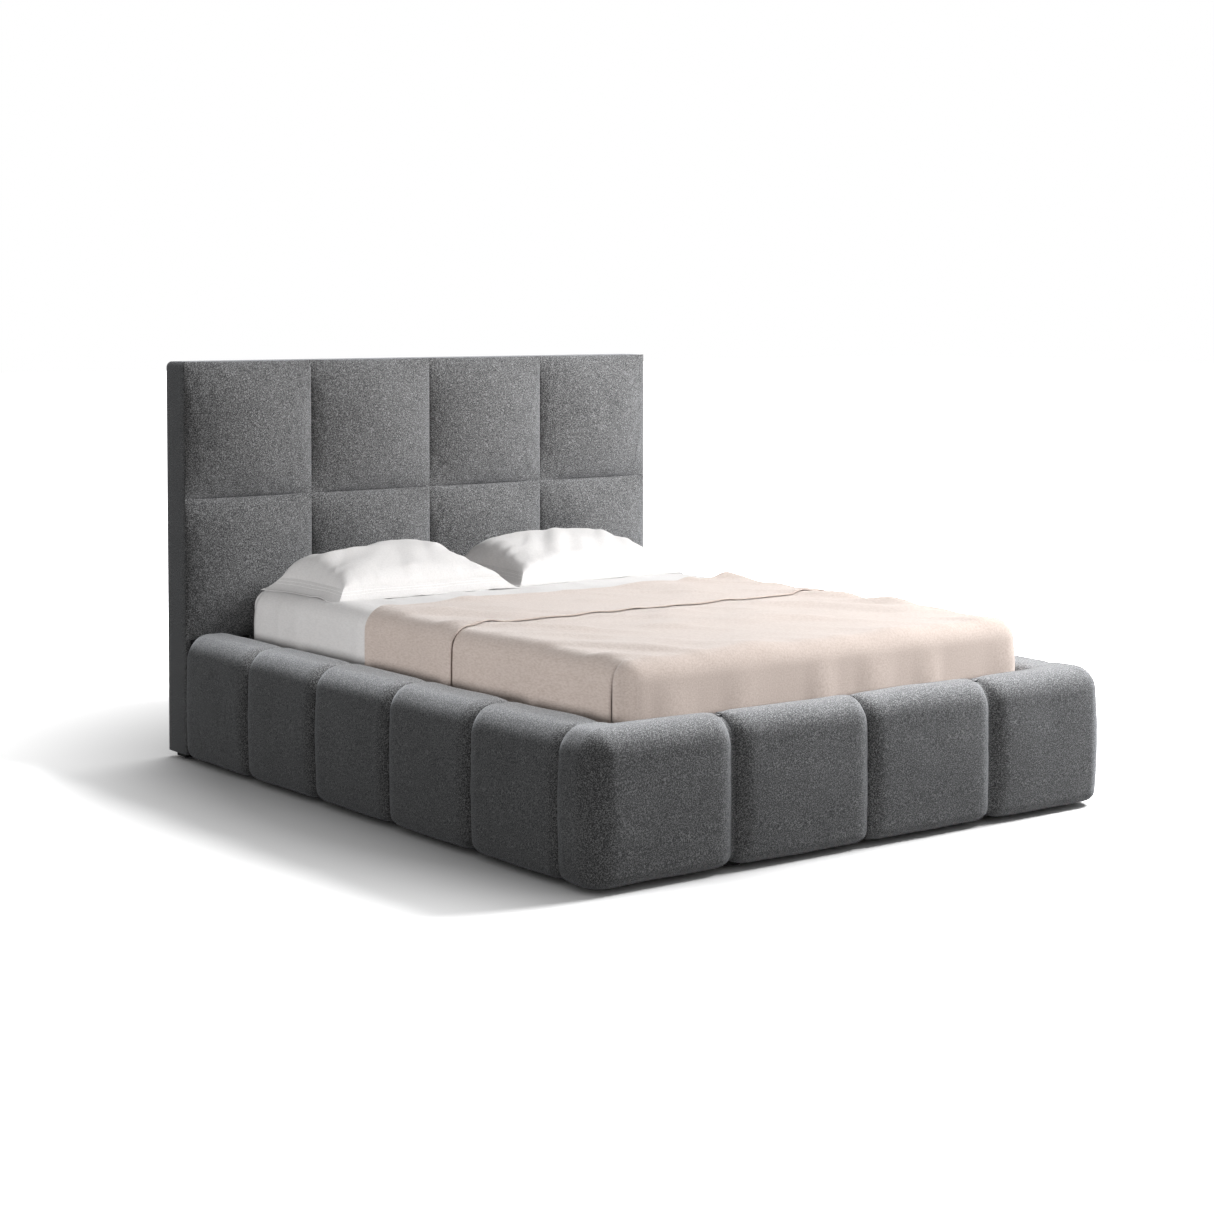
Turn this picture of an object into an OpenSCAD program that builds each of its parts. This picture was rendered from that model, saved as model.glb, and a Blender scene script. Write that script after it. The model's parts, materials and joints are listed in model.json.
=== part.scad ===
// Upholstered double bed with a channelled headboard, puffed rails and a lift-up mattress base.
// Origin: on the floor, under the middle of the whole bed. +X to the right, +Y to the headboard, +Z up.

/* [Headboard] */
// Height of the headboard above the floor
headboard_h = 1250; // [1150:5:1400]
// Width of the headboard
headboard_w = 1800; // [1790:1:1806]
// Depth of the headboard box behind its front pads
headboard_t = 128; // [110:1:128]
// How far the front pads stand forward of the board
pad_bulge = 36; // [20:1:36]
// Number of pads across the headboard and along the foot rail
columns = 4; // [4:1:4]
// Height of the seam between the two rows of pads
row_seam_z = 821; // [700:1:900]
// Height at which the lower row of pads starts
lower_row_z = 402; // [401:1:420]

/* [Rails] */
// Half width over the side rails
rail_outer_x = 910; // [905:1:920]
// Distance from the middle of the bed to a side rail's inner face
rail_inner_x = 745; // [744:1:746]
// Height of the top of the rails
rail_top_z = 400; // [380:1:400]
// Gap between the floor and the underside of the rails
floor_gap = 20; // [15:1:20]
// Number of pads along a side rail
side_pads = 5; // [5:1:5]
// Where the side rail's pads meet the foot rail's pads
foot_seam_y = -990; // [-995:1:-985]

/* [Mattress] */
// Width of the mattress
mattress_w = 1400; // [1380:1:1400]
// Thickness of the mattress
mattress_t = 204; // [150:1:204]
// Foot end of the mattress
mattress_foot_y = -994; // [-996:1:-980]
// Head end of the mattress
mattress_head_y = 966; // [950:1:967]

/* [Lift mechanism] */
// Width of the arms between their eyes
arm_w = 24; // [20:1:26]
// Radius of the pivot pins
pin_r = 5; // [4.5:0.1:5]
// Radial play of a pin in its bore
bore_play = 0.05; // [0.02:0.01:0.1]
// Number of slats in each of the two rows
slat_count = 14; // [10:1:14]

/* [Hidden] */
$fn = 48;

// Colours
fabric_grey = [0.30, 0.30, 0.31];
timber = [0.72, 0.58, 0.40];
steel_black = [0.13, 0.13, 0.14];
zinc = [0.72, 0.73, 0.74];
plastic_black = [0.08, 0.08, 0.08];
linen_white = [0.95, 0.94, 0.93];
blanket_beige = [0.84, 0.76, 0.71];
webbing_grey = [0.20, 0.20, 0.21];

// Gap left between neighbouring pads
pad_gap = 1;
// Gap left between a pad and the timber that it covers
cover_gap = 0.3;

// Headboard planes
board_y = 1010;
back_y = board_y + headboard_t;
board_x = headboard_w / 2 - 15;
border_t = 15;
front_panel_t = 15;
back_panel_t = 4;
back_cover_t = 9;
post_w = 60;
post_front_y = board_y + front_panel_t;
post_back_y = back_y - back_cover_t - back_panel_t;
cross_rail_h = 60;
pad_pitch_x = headboard_w / columns;
pad_edge_r = 28;
lower_pad_x = 680;
lower_pad_t = 20;

// Rail planes
box_outer_x = 850;
box_top_z = 345;
box_inner_wall = 18;
box_outer_wall = 15;
rail_foot_y = -1014;
rail_head_y = 1008;
foot_outer_y = -1138;
foot_inner_y = -1016;
foot_box_outer_y = -1080;
pad_pitch_y = (board_y - foot_seam_y) / side_pads;
corner_r = 70;
shoulder_r = 60;
hem_r = 40;

// Inside of the storage box
panel_t = 8;
bearer_h = 20;
bearer_w = 60;
bearer_ys = [-960, -330, 330, 930];

// Lift mechanism, seen from the side as [y, z]. The long arm turns on the bracket at its foot-side
// pivot, the base turns on the long arm, and the short arm steers the base.
long_pivot = [444, 227];
base_pivot = [600, 305];
short_pivot = [310, 121];
short_top = [533, 244];
strut_pivot = [500, 117];
strut_top = [648, 323];
// The short arm's top pivot is the one where the linkage is left open, so its hole has play
open_play = 2.8;
open_shift = [-1, 2];
// The strut's line, which the rod and the cylinder share within the cylinder's bore
strut_tilt = -0.63;
strut_angle = atan2(strut_top[1] - strut_pivot[1], strut_top[0] - strut_pivot[0]) - strut_tilt;
strut_l = norm(strut_top - strut_pivot);
strut_end_gap = 20;
strut_x = 725;
cylinder_r = 9.5;
cylinder_bore_r = 7.6;
rod_r = 4;
rod_play = 3.3;
eye_r = 9;
eye_t = 10;
stud_r = 4;

// Layers of the mechanism from the base outwards, along x
base_plate_x = 688;
short_arm_x = 696;
long_arm_x = 705;
bracket_x = 741;
plate_t = 4;
arm_t = 5;
eye_extra = 4;
head_r = 9;
head_t = 2;

// Mattress base
tube_z = 282;
tube_h = 30;
tube_w = 40;
base_foot_y = -990;
base_head_y = 955;
cross_tube_ys = [-970, -400, 200, 935];
slat_w = 62;
slat_t = 12;
slat_top_z = 326;
slat_pitch = 138;
slat_outer_x = 680;
slat_inner_x = 8;
holder_l = 34;
holder_t = 2;

// Bedding
mattress_z = slat_top_z;
mattress_top_z = mattress_z + mattress_t;
mattress_r = 50;
sheet_t = 2;
blanket_t = 6;
blanket_hem_z = 338;
blanket_head_y = 240;
fold_y = -215;
fold_t = 8;

// A bar between two [y, z] points, lying in the side plane, with a round eye wider than the bar at both ends
module bar(p, q, w) {
    d = q - p;
    for (end = [p, q])
        translate(end) circle(d = w + eye_extra);
    translate(p) rotate(atan2(d[1], d[0])) translate([0, -w / 2]) square([norm(d), w]);
}

// Raises a [y, z] outline into a plate that starts at x and is t thick
module side_plate(x, t) {
    translate([x, 0, 0]) rotate([90, 0, 90]) linear_extrude(t) children();
}

// A round pin along x at a [y, z] point
module pin_x(p, x0, x1, r) {
    translate([x0, p[0], p[1]]) rotate([0, 90, 0]) cylinder(h = x1 - x0, r = r);
}

// Draws the right-hand piece and its mirror image
module both_sides() {
    children();
    mirror([1, 0, 0]) children();
}

// A box given by its two corners
module block(low, high) {
    translate(low) cube(high - low);
}

// A rectangle with its own radius at each top corner and one radius at the bottom left corner
module rail_outline(x0, x1, r_in) {
    r_out = shoulder_r;
    translate([x0 + r_in, rail_top_z - r_in]) circle(r_in);
    translate([x1 - r_out, rail_top_z - r_out]) circle(r_out);
    translate([x1 - hem_r, floor_gap + hem_r]) circle(hem_r);
    translate([x0 + r_in, floor_gap]) square([x1 - r_out - x0 - r_in, rail_top_z - floor_gap]);
    translate([x0, floor_gap]) square([x1 - hem_r - x0, rail_top_z - r_in - floor_gap]);
    translate([x1 - r_out, floor_gap + hem_r]) square([r_out, rail_top_z - r_out - floor_gap - hem_r]);
}

// Headboard

module headboard_front_panel() {
    color(timber)
        block([-board_x, board_y, floor_gap], [board_x, post_front_y, headboard_h - border_t]);
}

module headboard_posts() {
    color(timber)
        for (x = [-board_x, -post_w / 2, board_x - post_w])
            block([x, post_front_y, floor_gap], [x + post_w, post_back_y, headboard_h - border_t]);
}

module headboard_cross_rails() {
    top = headboard_h - border_t - cross_rail_h;
    color(timber)
        both_sides()
            for (z = [floor_gap, (floor_gap + top) / 2, top])
                block([post_w / 2, post_front_y + 10, z], [board_x - post_w, post_back_y - 10, z + cross_rail_h]);
}

module headboard_back_panel() {
    color(timber)
        block([-board_x, post_back_y, floor_gap], [board_x, post_back_y + back_panel_t, headboard_h - border_t]);
}

module headboard_back_cover() {
    color(fabric_grey)
        block([-board_x, back_y - back_cover_t, floor_gap], [board_x, back_y, headboard_h - border_t]);
}

module headboard_border() {
    color(fabric_grey) {
        both_sides()
            block([board_x, board_y, floor_gap], [headboard_w / 2, back_y, headboard_h]);
        block([-board_x, board_y, headboard_h - border_t], [board_x, back_y, headboard_h]);
    }
}

module headboard_lower_pad() {
    color(fabric_grey)
        block([-lower_pad_x, board_y - lower_pad_t, 60], [lower_pad_x, board_y, lower_row_z - 10]);
}

// Outline of a pad seen along its length: flat at the back, rounded at both front edges
module pad_outline(w, r) {
    intersection() {
        square([w, pad_bulge]);
        union() {
            square([w, pad_bulge - r]);
            translate([r, 0]) square([w - 2 * r, pad_bulge]);
            for (x = [r, w - r])
                translate([x, pad_bulge - r]) circle(r);
        }
    }
}

module headboard_pad(column, z0, z1) {
    w = pad_pitch_x - pad_gap;
    x0 = -headboard_w / 2 + column * pad_pitch_x + pad_gap / 2;
    h = z1 - z0 - pad_gap;
    color(fabric_grey)
        intersection() {
            translate([x0, board_y, z0])
                mirror([0, 1, 0]) linear_extrude(h) pad_outline(w, pad_edge_r);
            translate([x0, board_y, z0])
                rotate([90, 0, 90]) linear_extrude(w) rotate(90) pad_outline(h, pad_edge_r);
        }
}

// Rails and foot

module rail_box() {
    color(timber)
        difference() {
            block([rail_inner_x, rail_foot_y, floor_gap], [box_outer_x, rail_head_y, box_top_z]);
            block(
                [rail_inner_x + box_inner_wall, rail_foot_y - 1, floor_gap - 1],
                [box_outer_x - box_outer_wall, rail_head_y + 1, box_top_z - box_outer_wall]
            );
            right_bolt_holes();
            for (p = screw_places)
                pin_x(p, rail_inner_x - 1, rail_inner_x + box_inner_wall + 1, screw_r);
        }
}

module side_pad_body(y0, y1) {
    difference() {
        translate([0, y1, 0])
            rotate([90, 0, 0]) linear_extrude(y1 - y0) rail_outline(rail_inner_x, rail_outer_x, hem_r);
        block([0, y0 - 1, 0], [box_outer_x + cover_gap, y1 + 1, box_top_z + cover_gap]);
    }
}

// Pad number i along the right-hand rail, counted from the foot
module side_pad(i) {
    y0 = foot_seam_y + i * pad_pitch_y + pad_gap / 2;
    y1 = min(y0 + pad_pitch_y - pad_gap, rail_head_y);
    color(fabric_grey) side_pad_body(y0, y1);
}

module foot_box() {
    color(timber)
        difference() {
            block([-box_outer_x, foot_box_outer_y, floor_gap], [box_outer_x, foot_inner_y, box_top_z]);
            block(
                [-box_outer_x - 1, foot_box_outer_y + box_outer_wall, floor_gap - 1],
                [box_outer_x + 1, foot_inner_y - box_inner_wall, box_top_z - box_outer_wall]
            );
            both_sides() foot_bolt_holes();
        }
}

// The stretch of the foot rail from x0 to x1
module foot_pad_body(x0, x1) {
    difference() {
        translate([x0, 0, 0])
            rotate([90, 0, 90]) linear_extrude(x1 - x0)
                mirror([1, 0]) rail_outline(-foot_inner_y, -foot_outer_y, hem_r);
        block(
            [-box_outer_x - cover_gap, foot_box_outer_y - cover_gap, 0],
            [box_outer_x + cover_gap, 0, box_top_z + cover_gap]
        );
    }
}

// Plan of the outer corner of the bed
module corner_plan() {
    translate([0, foot_outer_y + corner_r]) square([rail_outer_x, 200]);
    translate([0, foot_outer_y]) square([rail_outer_x - corner_r, 200]);
    translate([rail_outer_x - corner_r, foot_outer_y + corner_r]) circle(corner_r);
}

module foot_pad_middle() {
    color(fabric_grey) foot_pad_body(pad_gap / 2, pad_pitch_x - pad_gap / 2);
}

module foot_pad_corner() {
    color(fabric_grey)
        intersection() {
            union() {
                foot_pad_body(pad_pitch_x + pad_gap / 2, rail_outer_x);
                side_pad_body(foot_inner_y, foot_seam_y - pad_gap / 2);
            }
            linear_extrude(rail_top_z) corner_plan();
        }
}

// Joints of the frame

bracket_leg = 60;
bracket_h = 150;
bracket_z = 120;
bolt_r = 4;
bolt_hole_r = 4.2;
bolt_head_r = 7;
bolt_head_t = 4;
bolt_zs = [bracket_z + 35, bracket_z + bracket_h - 35];
bolt_in = 38;

// Two bolts along x, on the rail leg of a corner bracket
module rail_leg_bolts(y, x0, x1, r) {
    for (z = bolt_zs)
        pin_x([y, z], x0, x1, r);
}

// Two bolts along y, on the other leg of a corner bracket
module end_leg_bolts(y0, y1, r) {
    for (z = bolt_zs)
        translate([rail_inner_x - bolt_in, y0, z]) rotate([-90, 0, 0]) cylinder(h = y1 - y0, r = r);
}

module right_bolt_holes() {
    for (y = [foot_inner_y + bolt_in, board_y - bolt_in])
        rail_leg_bolts(y, rail_inner_x - 1, rail_inner_x + box_inner_wall + 1, bolt_hole_r);
}

module foot_bolt_holes() {
    end_leg_bolts(foot_inner_y - box_inner_wall - 1, foot_inner_y + 1, bolt_hole_r);
}

// An angle bracket in the corner between a rail and the foot (side = 1) or the headboard (side = -1)
module corner_bracket(corner_y, side) {
    difference() {
        union() {
            block(
                [rail_inner_x - plate_t, min(corner_y, corner_y + side * bracket_leg), bracket_z],
                [rail_inner_x, max(corner_y, corner_y + side * bracket_leg), bracket_z + bracket_h]
            );
            block(
                [rail_inner_x - bracket_leg, min(corner_y, corner_y + side * plate_t), bracket_z],
                [rail_inner_x, max(corner_y, corner_y + side * plate_t), bracket_z + bracket_h]
            );
        }
        rail_leg_bolts(corner_y + side * bolt_in, rail_inner_x - plate_t - 1, rail_inner_x + 1, bolt_hole_r);
        end_leg_bolts(corner_y - plate_t - 1, corner_y + plate_t + 1, bolt_hole_r);
    }
}

module corner_brackets() {
    color(steel_black)
        both_sides() {
            corner_bracket(foot_inner_y, 1);
            corner_bracket(board_y, -1);
        }
}

module corner_bolts() {
    head_x = rail_inner_x - plate_t;
    color(zinc)
        both_sides() {
            for (y = [foot_inner_y + bolt_in, board_y - bolt_in]) {
                rail_leg_bolts(y, head_x, rail_inner_x + box_inner_wall, bolt_r);
                rail_leg_bolts(y, head_x - bolt_head_t, head_x, bolt_head_r);
            }
            end_leg_bolts(foot_inner_y - box_inner_wall, foot_inner_y + plate_t, bolt_r);
            end_leg_bolts(foot_inner_y + plate_t, foot_inner_y + plate_t + bolt_head_t, bolt_head_r);
            end_leg_bolts(board_y - plate_t - bolt_head_t, board_y - plate_t, bolt_head_r);
            end_leg_bolts(board_y - plate_t, board_y, bolt_r);
        }
}

// A low block with a round glide under it
module foot_block(x, y) {
    glide_h = 6;
    block([x - 50, y - 30, glide_h], [x + 50, y + 30, floor_gap]);
    translate([x, y, 0]) cylinder(h = glide_h, r = 20);
}

module feet() {
    rail_mid_x = (rail_inner_x + box_outer_x) / 2;
    color(plastic_black)
        both_sides() {
            for (y = [-900, 0, 900])
                foot_block(rail_mid_x, y);
            foot_block(400, (foot_box_outer_y + foot_inner_y) / 2);
            foot_block(board_x - 50, (post_front_y + post_back_y) / 2);
            foot_block(300, bearer_ys[1]);
            foot_block(300, bearer_ys[2]);
        }
}

module floor_bearers() {
    color(timber)
        for (y = bearer_ys)
            block([-rail_inner_x, y - bearer_w / 2, floor_gap], [rail_inner_x, y + bearer_w / 2, floor_gap + bearer_h]);
}

module floor_panels() {
    z = floor_gap + bearer_h;
    edge_x = rail_inner_x - 2;
    color([0.80, 0.79, 0.77]) {
        block([-edge_x, foot_inner_y + 2, z], [edge_x, -1, z + panel_t]);
        block([-edge_x, 1, z], [edge_x, board_y - lower_pad_t - 3, z + panel_t]);
    }
}

// Lift mechanism

screw_r = 3;
screw_head_r = 6;
screw_head_t = 3;
screw_places = [[300, 245], [515, 245], [300, 165], [468, 160]];

module lift_bracket() {
    low = [275, 95];
    high = [530, 262];
    r = 15;
    difference() {
        side_plate(bracket_x, plate_t) {
            translate([low[0] + r, low[1]]) square([high[0] - low[0] - 2 * r, high[1] - low[1]]);
            translate([low[0], low[1] + r]) square([high[0] - low[0], high[1] - low[1] - 2 * r]);
            for (y = [low[0] + r, high[0] - r], z = [low[1] + r, high[1] - r])
                translate([y, z]) circle(r);
        }
        for (p = screw_places)
            pin_x(p, bracket_x - 1, rail_inner_x + 1, screw_r + 0.2);
    }
}

module lift_brackets() {
    color(steel_black) both_sides() lift_bracket();
}

// A pin welded to the bracket: a wide shoulder, the bearing length through the arm, and a head
module stepped_pin(p, arm_x) {
    pin_x(p, arm_x + arm_t + 1, bracket_x, pin_r + 3);
    pin_x(p, arm_x - head_t, arm_x + arm_t + 1, pin_r);
    pin_x(p, arm_x - head_t - 0.5, arm_x - 0.5, head_r);
}

module bracket_pins() {
    color(zinc)
        both_sides() {
            stepped_pin(long_pivot, long_arm_x);
            stepped_pin(short_pivot, short_arm_x);
            pin_x(strut_pivot, strut_x - eye_t / 2 - 3, bracket_x, stud_r);
            pin_x(strut_pivot, strut_x - eye_t / 2 - 3, strut_x - eye_t / 2 - 1, stud_r + 3);
        }
}

module bracket_screws() {
    color(zinc)
        both_sides()
            for (p = screw_places) {
                pin_x(p, bracket_x, rail_inner_x + box_inner_wall, screw_r);
                pin_x(p, bracket_x - screw_head_t, bracket_x, screw_head_r);
            }
}

module rest_buffers() {
    gap = 0.6;
    color(plastic_black)
        both_sides() {
            block([500, foot_inner_y, tube_z - 20], [560, foot_inner_y + 40, tube_z - gap]);
            block([500, foot_inner_y, tube_z - 90], [560, foot_inner_y + 15, tube_z - 20]);
        }
}

module long_arm() {
    difference() {
        union() {
            side_plate(long_arm_x, arm_t) {
                bar(long_pivot, base_pivot, arm_w);
                bar(base_pivot, strut_top, arm_w);
            }
            pin_x(strut_top, long_arm_x + arm_t, strut_x + eye_t / 2 + 3, stud_r);
            pin_x(strut_top, strut_x + eye_t / 2 + 1, strut_x + eye_t / 2 + 3, stud_r + 3);
        }
        for (p = [long_pivot, base_pivot])
            pin_x(p, long_arm_x - 1, long_arm_x + arm_t + 1, pin_r + bore_play);
    }
}

module long_arms() {
    color(steel_black) both_sides() long_arm();
}

module short_arm() {
    top = short_top + open_shift;
    difference() {
        side_plate(short_arm_x, arm_t) bar(short_pivot, top, arm_w + 4);
        pin_x(short_pivot, short_arm_x - 1, short_arm_x + arm_t + 1, pin_r + bore_play);
        pin_x(top, short_arm_x - 1, short_arm_x + arm_t + 1, pin_r + open_play);
    }
}

module short_arms() {
    color(steel_black) both_sides() short_arm();
}

// Places a strut part, drawn along +Z from its own eye, at a [y, z] pivot, leaning by angle from +Y
module along_strut(p, angle) {
    translate([strut_x, p[0], p[1]]) rotate([angle - 90, 0, 0]) children();
}

// The flat eye at the end of a strut part
module strut_eye(stem_l, stem_r) {
    difference() {
        union() {
            rotate([0, 90, 0]) translate([0, 0, -eye_t / 2]) cylinder(h = eye_t, r = eye_r);
            cylinder(h = stem_l, r = stem_r);
        }
        rotate([0, 90, 0]) translate([0, 0, -eye_t]) cylinder(h = 2 * eye_t, r = stud_r + bore_play);
    }
}

module gas_cylinder() {
    closed_end = 14;
    mouth_t = 4;
    tube_l = strut_l - strut_end_gap - closed_end;
    strut_eye(closed_end, rod_r);
    translate([0, 0, closed_end])
        difference() {
            cylinder(h = tube_l, r = cylinder_r);
            translate([0, 0, mouth_t]) cylinder(h = tube_l - 2 * mouth_t, r = cylinder_bore_r);
            translate([0, 0, 2 * mouth_t]) cylinder(h = tube_l, r = rod_r + rod_play);
        }
}

module gas_cylinders() {
    color(steel_black) both_sides() along_strut(strut_pivot, strut_angle) gas_cylinder();
}

module gas_rods() {
    color(zinc)
        both_sides()
            along_strut(strut_top, strut_angle + 180) strut_eye(strut_l - strut_end_gap - 2, rod_r);
}

// Mattress base

module base_side_tubes() {
    color(steel_black)
        both_sides()
            block([base_plate_x - tube_w, base_foot_y, tube_z], [base_plate_x, base_head_y, tube_z + tube_h]);
}

module base_cross_tubes() {
    inner = base_plate_x - tube_w;
    color(steel_black)
        for (y = cross_tube_ys)
            both_sides()
                block([tube_w / 2, y - tube_w / 2, tube_z], [inner, y + tube_w / 2, tube_z + tube_h]);
}

module base_centre_rail() {
    color(steel_black)
        block([-tube_w / 2, base_foot_y, tube_z], [tube_w / 2, base_head_y, tube_z + tube_h]);
}

module base_plate() {
    shoulder = [680, 297];
    difference() {
        side_plate(base_plate_x, plate_t) {
            bar(short_top, base_pivot, arm_w);
            bar(base_pivot, shoulder, arm_w);
            bar(short_top, shoulder, arm_w);
            polygon([short_top, base_pivot, shoulder]);
        }
        pin_x(base_pivot, base_plate_x - 1, base_plate_x + plate_t + 1, pin_r);
        pin_x(short_top, base_plate_x - 1, base_plate_x + plate_t + 1, pin_r);
    }
}

module base_plates() {
    color(steel_black) both_sides() base_plate();
}

module base_pins() {
    long_end = long_arm_x + arm_t;
    short_end = short_arm_x + arm_t;
    color(zinc)
        both_sides() {
            pin_x(base_pivot, base_plate_x, long_end + head_t, pin_r);
            pin_x(base_pivot, long_end + 0.5, long_end + head_t + 0.5, head_r);
            pin_x(short_top, base_plate_x, short_end + head_t, pin_r);
            pin_x(short_top, short_end + 0.5, short_end + head_t, head_r + 3);
        }
}

// Y of the middle of slat number i, counted from the foot
function slat_y(i) = (base_foot_y + base_head_y) / 2 + (i - (slat_count - 1) / 2) * slat_pitch;

module slats() {
    color([0.83, 0.72, 0.53])
        both_sides()
            for (i = [0 : slat_count - 1])
                block(
                    [slat_inner_x, slat_y(i) - slat_w / 2, slat_top_z - slat_t],
                    [slat_outer_x, slat_y(i) + slat_w / 2, slat_top_z]
                );
}

// A shallow cradle under a slat's end, with a lip on both sides of the slat
module slat_holder(x0, x1, y) {
    lip = 4;
    half_w = slat_w / 2;
    block([x0, y - half_w - lip, tube_z + tube_h], [x1, y + half_w + lip, slat_top_z - slat_t]);
    for (side = [-1, 1])
        translate([x0, y + side * (half_w + lip / 2 + 0.1) - lip / 2 + 0.1, tube_z + tube_h])
            cube([x1 - x0, lip - 0.2, 8]);
}

module slat_holders() {
    color(plastic_black)
        for (i = [0 : slat_count - 1]) {
            both_sides()
                slat_holder(slat_outer_x - holder_l, slat_outer_x, slat_y(i));
            slat_holder(-tube_w / 2, tube_w / 2, slat_y(i));
        }
}

module mattress_stops() {
    stop_y = mattress_head_y + sheet_t + 1;
    color(steel_black)
        both_sides() {
            block([380, stop_y, tube_z], [500, stop_y + 3, slat_top_z + 60]);
            block([380, base_head_y, tube_z], [500, stop_y, tube_z + tube_h]);
        }
}

module lift_strap() {
    color(webbing_grey)
        block([-20, base_foot_y - 4, tube_z - 55], [20, base_foot_y - 1, tube_z + 25]);
}

// Bedding

// A box with rounded corners in plan and rounded edges on top
module soft_box(half_w, y0, y1, z0, z1, r_plan, r_top) {
    intersection() {
        translate([0, 0, z0])
            linear_extrude(z1 - z0) {
                translate([-half_w + r_plan, y0]) square([2 * (half_w - r_plan), y1 - y0]);
                translate([-half_w, y0 + r_plan]) square([2 * half_w, y1 - y0 - 2 * r_plan]);
                for (x = [-half_w + r_plan, half_w - r_plan], y = [y0 + r_plan, y1 - r_plan])
                    translate([x, y]) circle(r_plan);
            }
        translate([0, y1 + 1, 0])
            rotate([90, 0, 0]) linear_extrude(y1 - y0 + 2) top_rounded(-half_w, half_w, z0, z1, r_top);
        translate([-half_w - 1, 0, 0])
            rotate([90, 0, 90]) linear_extrude(2 * half_w + 2) top_rounded(y0, y1, z0, z1, r_top);
    }
}

// A rectangle with its two top corners rounded
module top_rounded(a0, a1, z0, z1, r) {
    translate([a0, z0]) square([a1 - a0, z1 - z0 - r]);
    translate([a0 + r, z0]) square([a1 - a0 - 2 * r, z1 - z0]);
    for (a = [a0 + r, a1 - r])
        translate([a, z1 - r]) circle(r);
}

// The mattress grown by g on its sides and top
module mattress_form(g) {
    soft_box(
        mattress_w / 2 + g, mattress_foot_y - g, mattress_head_y + g,
        mattress_z, mattress_top_z + g, mattress_r + g, mattress_r + g
    );
}

module mattress() {
    color(linen_white) mattress_form(0);
}

module fitted_sheet() {
    color(linen_white)
        difference() {
            mattress_form(sheet_t);
            mattress_form(0);
        }
}

// The blanket lies over the foot end and the sides, and is folded back at its head end
module blanket() {
    reach = 2 * mattress_w;
    color(blanket_beige)
        difference() {
            union() {
                intersection() {
                    mattress_form(sheet_t + blanket_t);
                    block([-reach, -reach, blanket_hem_z], [reach, blanket_head_y, reach]);
                }
                intersection() {
                    mattress_form(sheet_t + blanket_t + fold_t);
                    block([-reach, fold_y, mattress_top_z - 100], [reach, blanket_head_y, reach]);
                }
            }
            mattress_form(sheet_t);
        }
}

// A pillow: a flattened round-cornered form inside its flat edge
module pillow(x0, x1, y0, y1) {
    z0 = mattress_top_z + sheet_t;
    flange = 45;
    flange_t = 8;
    pillow_h = 132;
    core_r = 60;
    translate([(x0 + x1) / 2, 0, z0 + 0.3]) {
        soft_box((x1 - x0) / 2 - flange, y0 + flange, y1 - 15, 0, pillow_h, core_r, core_r);
        soft_box((x1 - x0) / 2, y0, y1, 0, flange_t, 30, 3);
    }
}

module pillow_left() {
    color(linen_white) pillow(-670, -5, 470, 945);
}

module pillow_right() {
    color(linen_white) pillow(5, 690, 490, 945);
}

headboard_front_panel();
headboard_posts();
headboard_cross_rails();
headboard_back_panel();
headboard_back_cover();
headboard_border();
headboard_lower_pad();
for (i = [0 : columns - 1]) {
    headboard_pad(i, row_seam_z, headboard_h - border_t / 2);
    headboard_pad(i, lower_row_z, row_seam_z);
}
mirror([1, 0, 0]) rail_box();  // rail_box_left
rail_box();  // rail_box_right
for (i = [0 : side_pads - 1]) {
    mirror([1, 0, 0]) side_pad(i);
    side_pad(i);
}
foot_box();
mirror([1, 0, 0]) foot_pad_corner();  // foot_pad_1
mirror([1, 0, 0]) foot_pad_middle();  // foot_pad_2
foot_pad_middle();  // foot_pad_3
foot_pad_corner();  // foot_pad_4
corner_brackets();
corner_bolts();
feet();
floor_bearers();
floor_panels();
lift_brackets();
bracket_pins();
bracket_screws();
rest_buffers();
long_arms();
short_arms();
gas_cylinders();
gas_rods();
base_side_tubes();
base_cross_tubes();
base_centre_rail();
base_plates();
base_pins();
slats();
slat_holders();
mattress_stops();
lift_strap();
mattress();
fitted_sheet();
blanket();
pillow_left();
pillow_right();
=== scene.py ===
"""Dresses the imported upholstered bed: fabric pads, bedding, lift metalwork, light and camera.

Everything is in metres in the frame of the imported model: +X to the right, +Y to the headboard, +Z up,
with the origin on the floor under the middle of the bed.
"""

import json
import logging
import math
from dataclasses import dataclass
from enum import Enum

import bmesh
import bpy
import numpy as np
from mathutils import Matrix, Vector

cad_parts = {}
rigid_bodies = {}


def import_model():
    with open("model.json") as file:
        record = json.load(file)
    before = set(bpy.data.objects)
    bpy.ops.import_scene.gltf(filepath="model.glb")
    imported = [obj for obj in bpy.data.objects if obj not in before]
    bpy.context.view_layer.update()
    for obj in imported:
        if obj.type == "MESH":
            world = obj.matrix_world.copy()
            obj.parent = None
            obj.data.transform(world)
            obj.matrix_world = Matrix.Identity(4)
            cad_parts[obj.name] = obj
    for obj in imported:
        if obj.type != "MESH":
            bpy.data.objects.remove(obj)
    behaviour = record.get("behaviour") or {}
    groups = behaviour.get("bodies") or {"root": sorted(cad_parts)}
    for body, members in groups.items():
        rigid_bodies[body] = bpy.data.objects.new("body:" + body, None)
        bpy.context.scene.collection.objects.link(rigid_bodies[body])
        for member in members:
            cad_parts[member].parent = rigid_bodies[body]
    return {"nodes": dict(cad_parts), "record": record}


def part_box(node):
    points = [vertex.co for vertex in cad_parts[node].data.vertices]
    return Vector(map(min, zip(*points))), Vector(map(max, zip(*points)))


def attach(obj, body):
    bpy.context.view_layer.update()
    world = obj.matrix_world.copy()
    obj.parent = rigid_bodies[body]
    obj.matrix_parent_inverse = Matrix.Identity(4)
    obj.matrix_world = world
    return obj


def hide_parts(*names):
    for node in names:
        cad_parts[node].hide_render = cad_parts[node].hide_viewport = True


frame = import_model()

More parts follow.
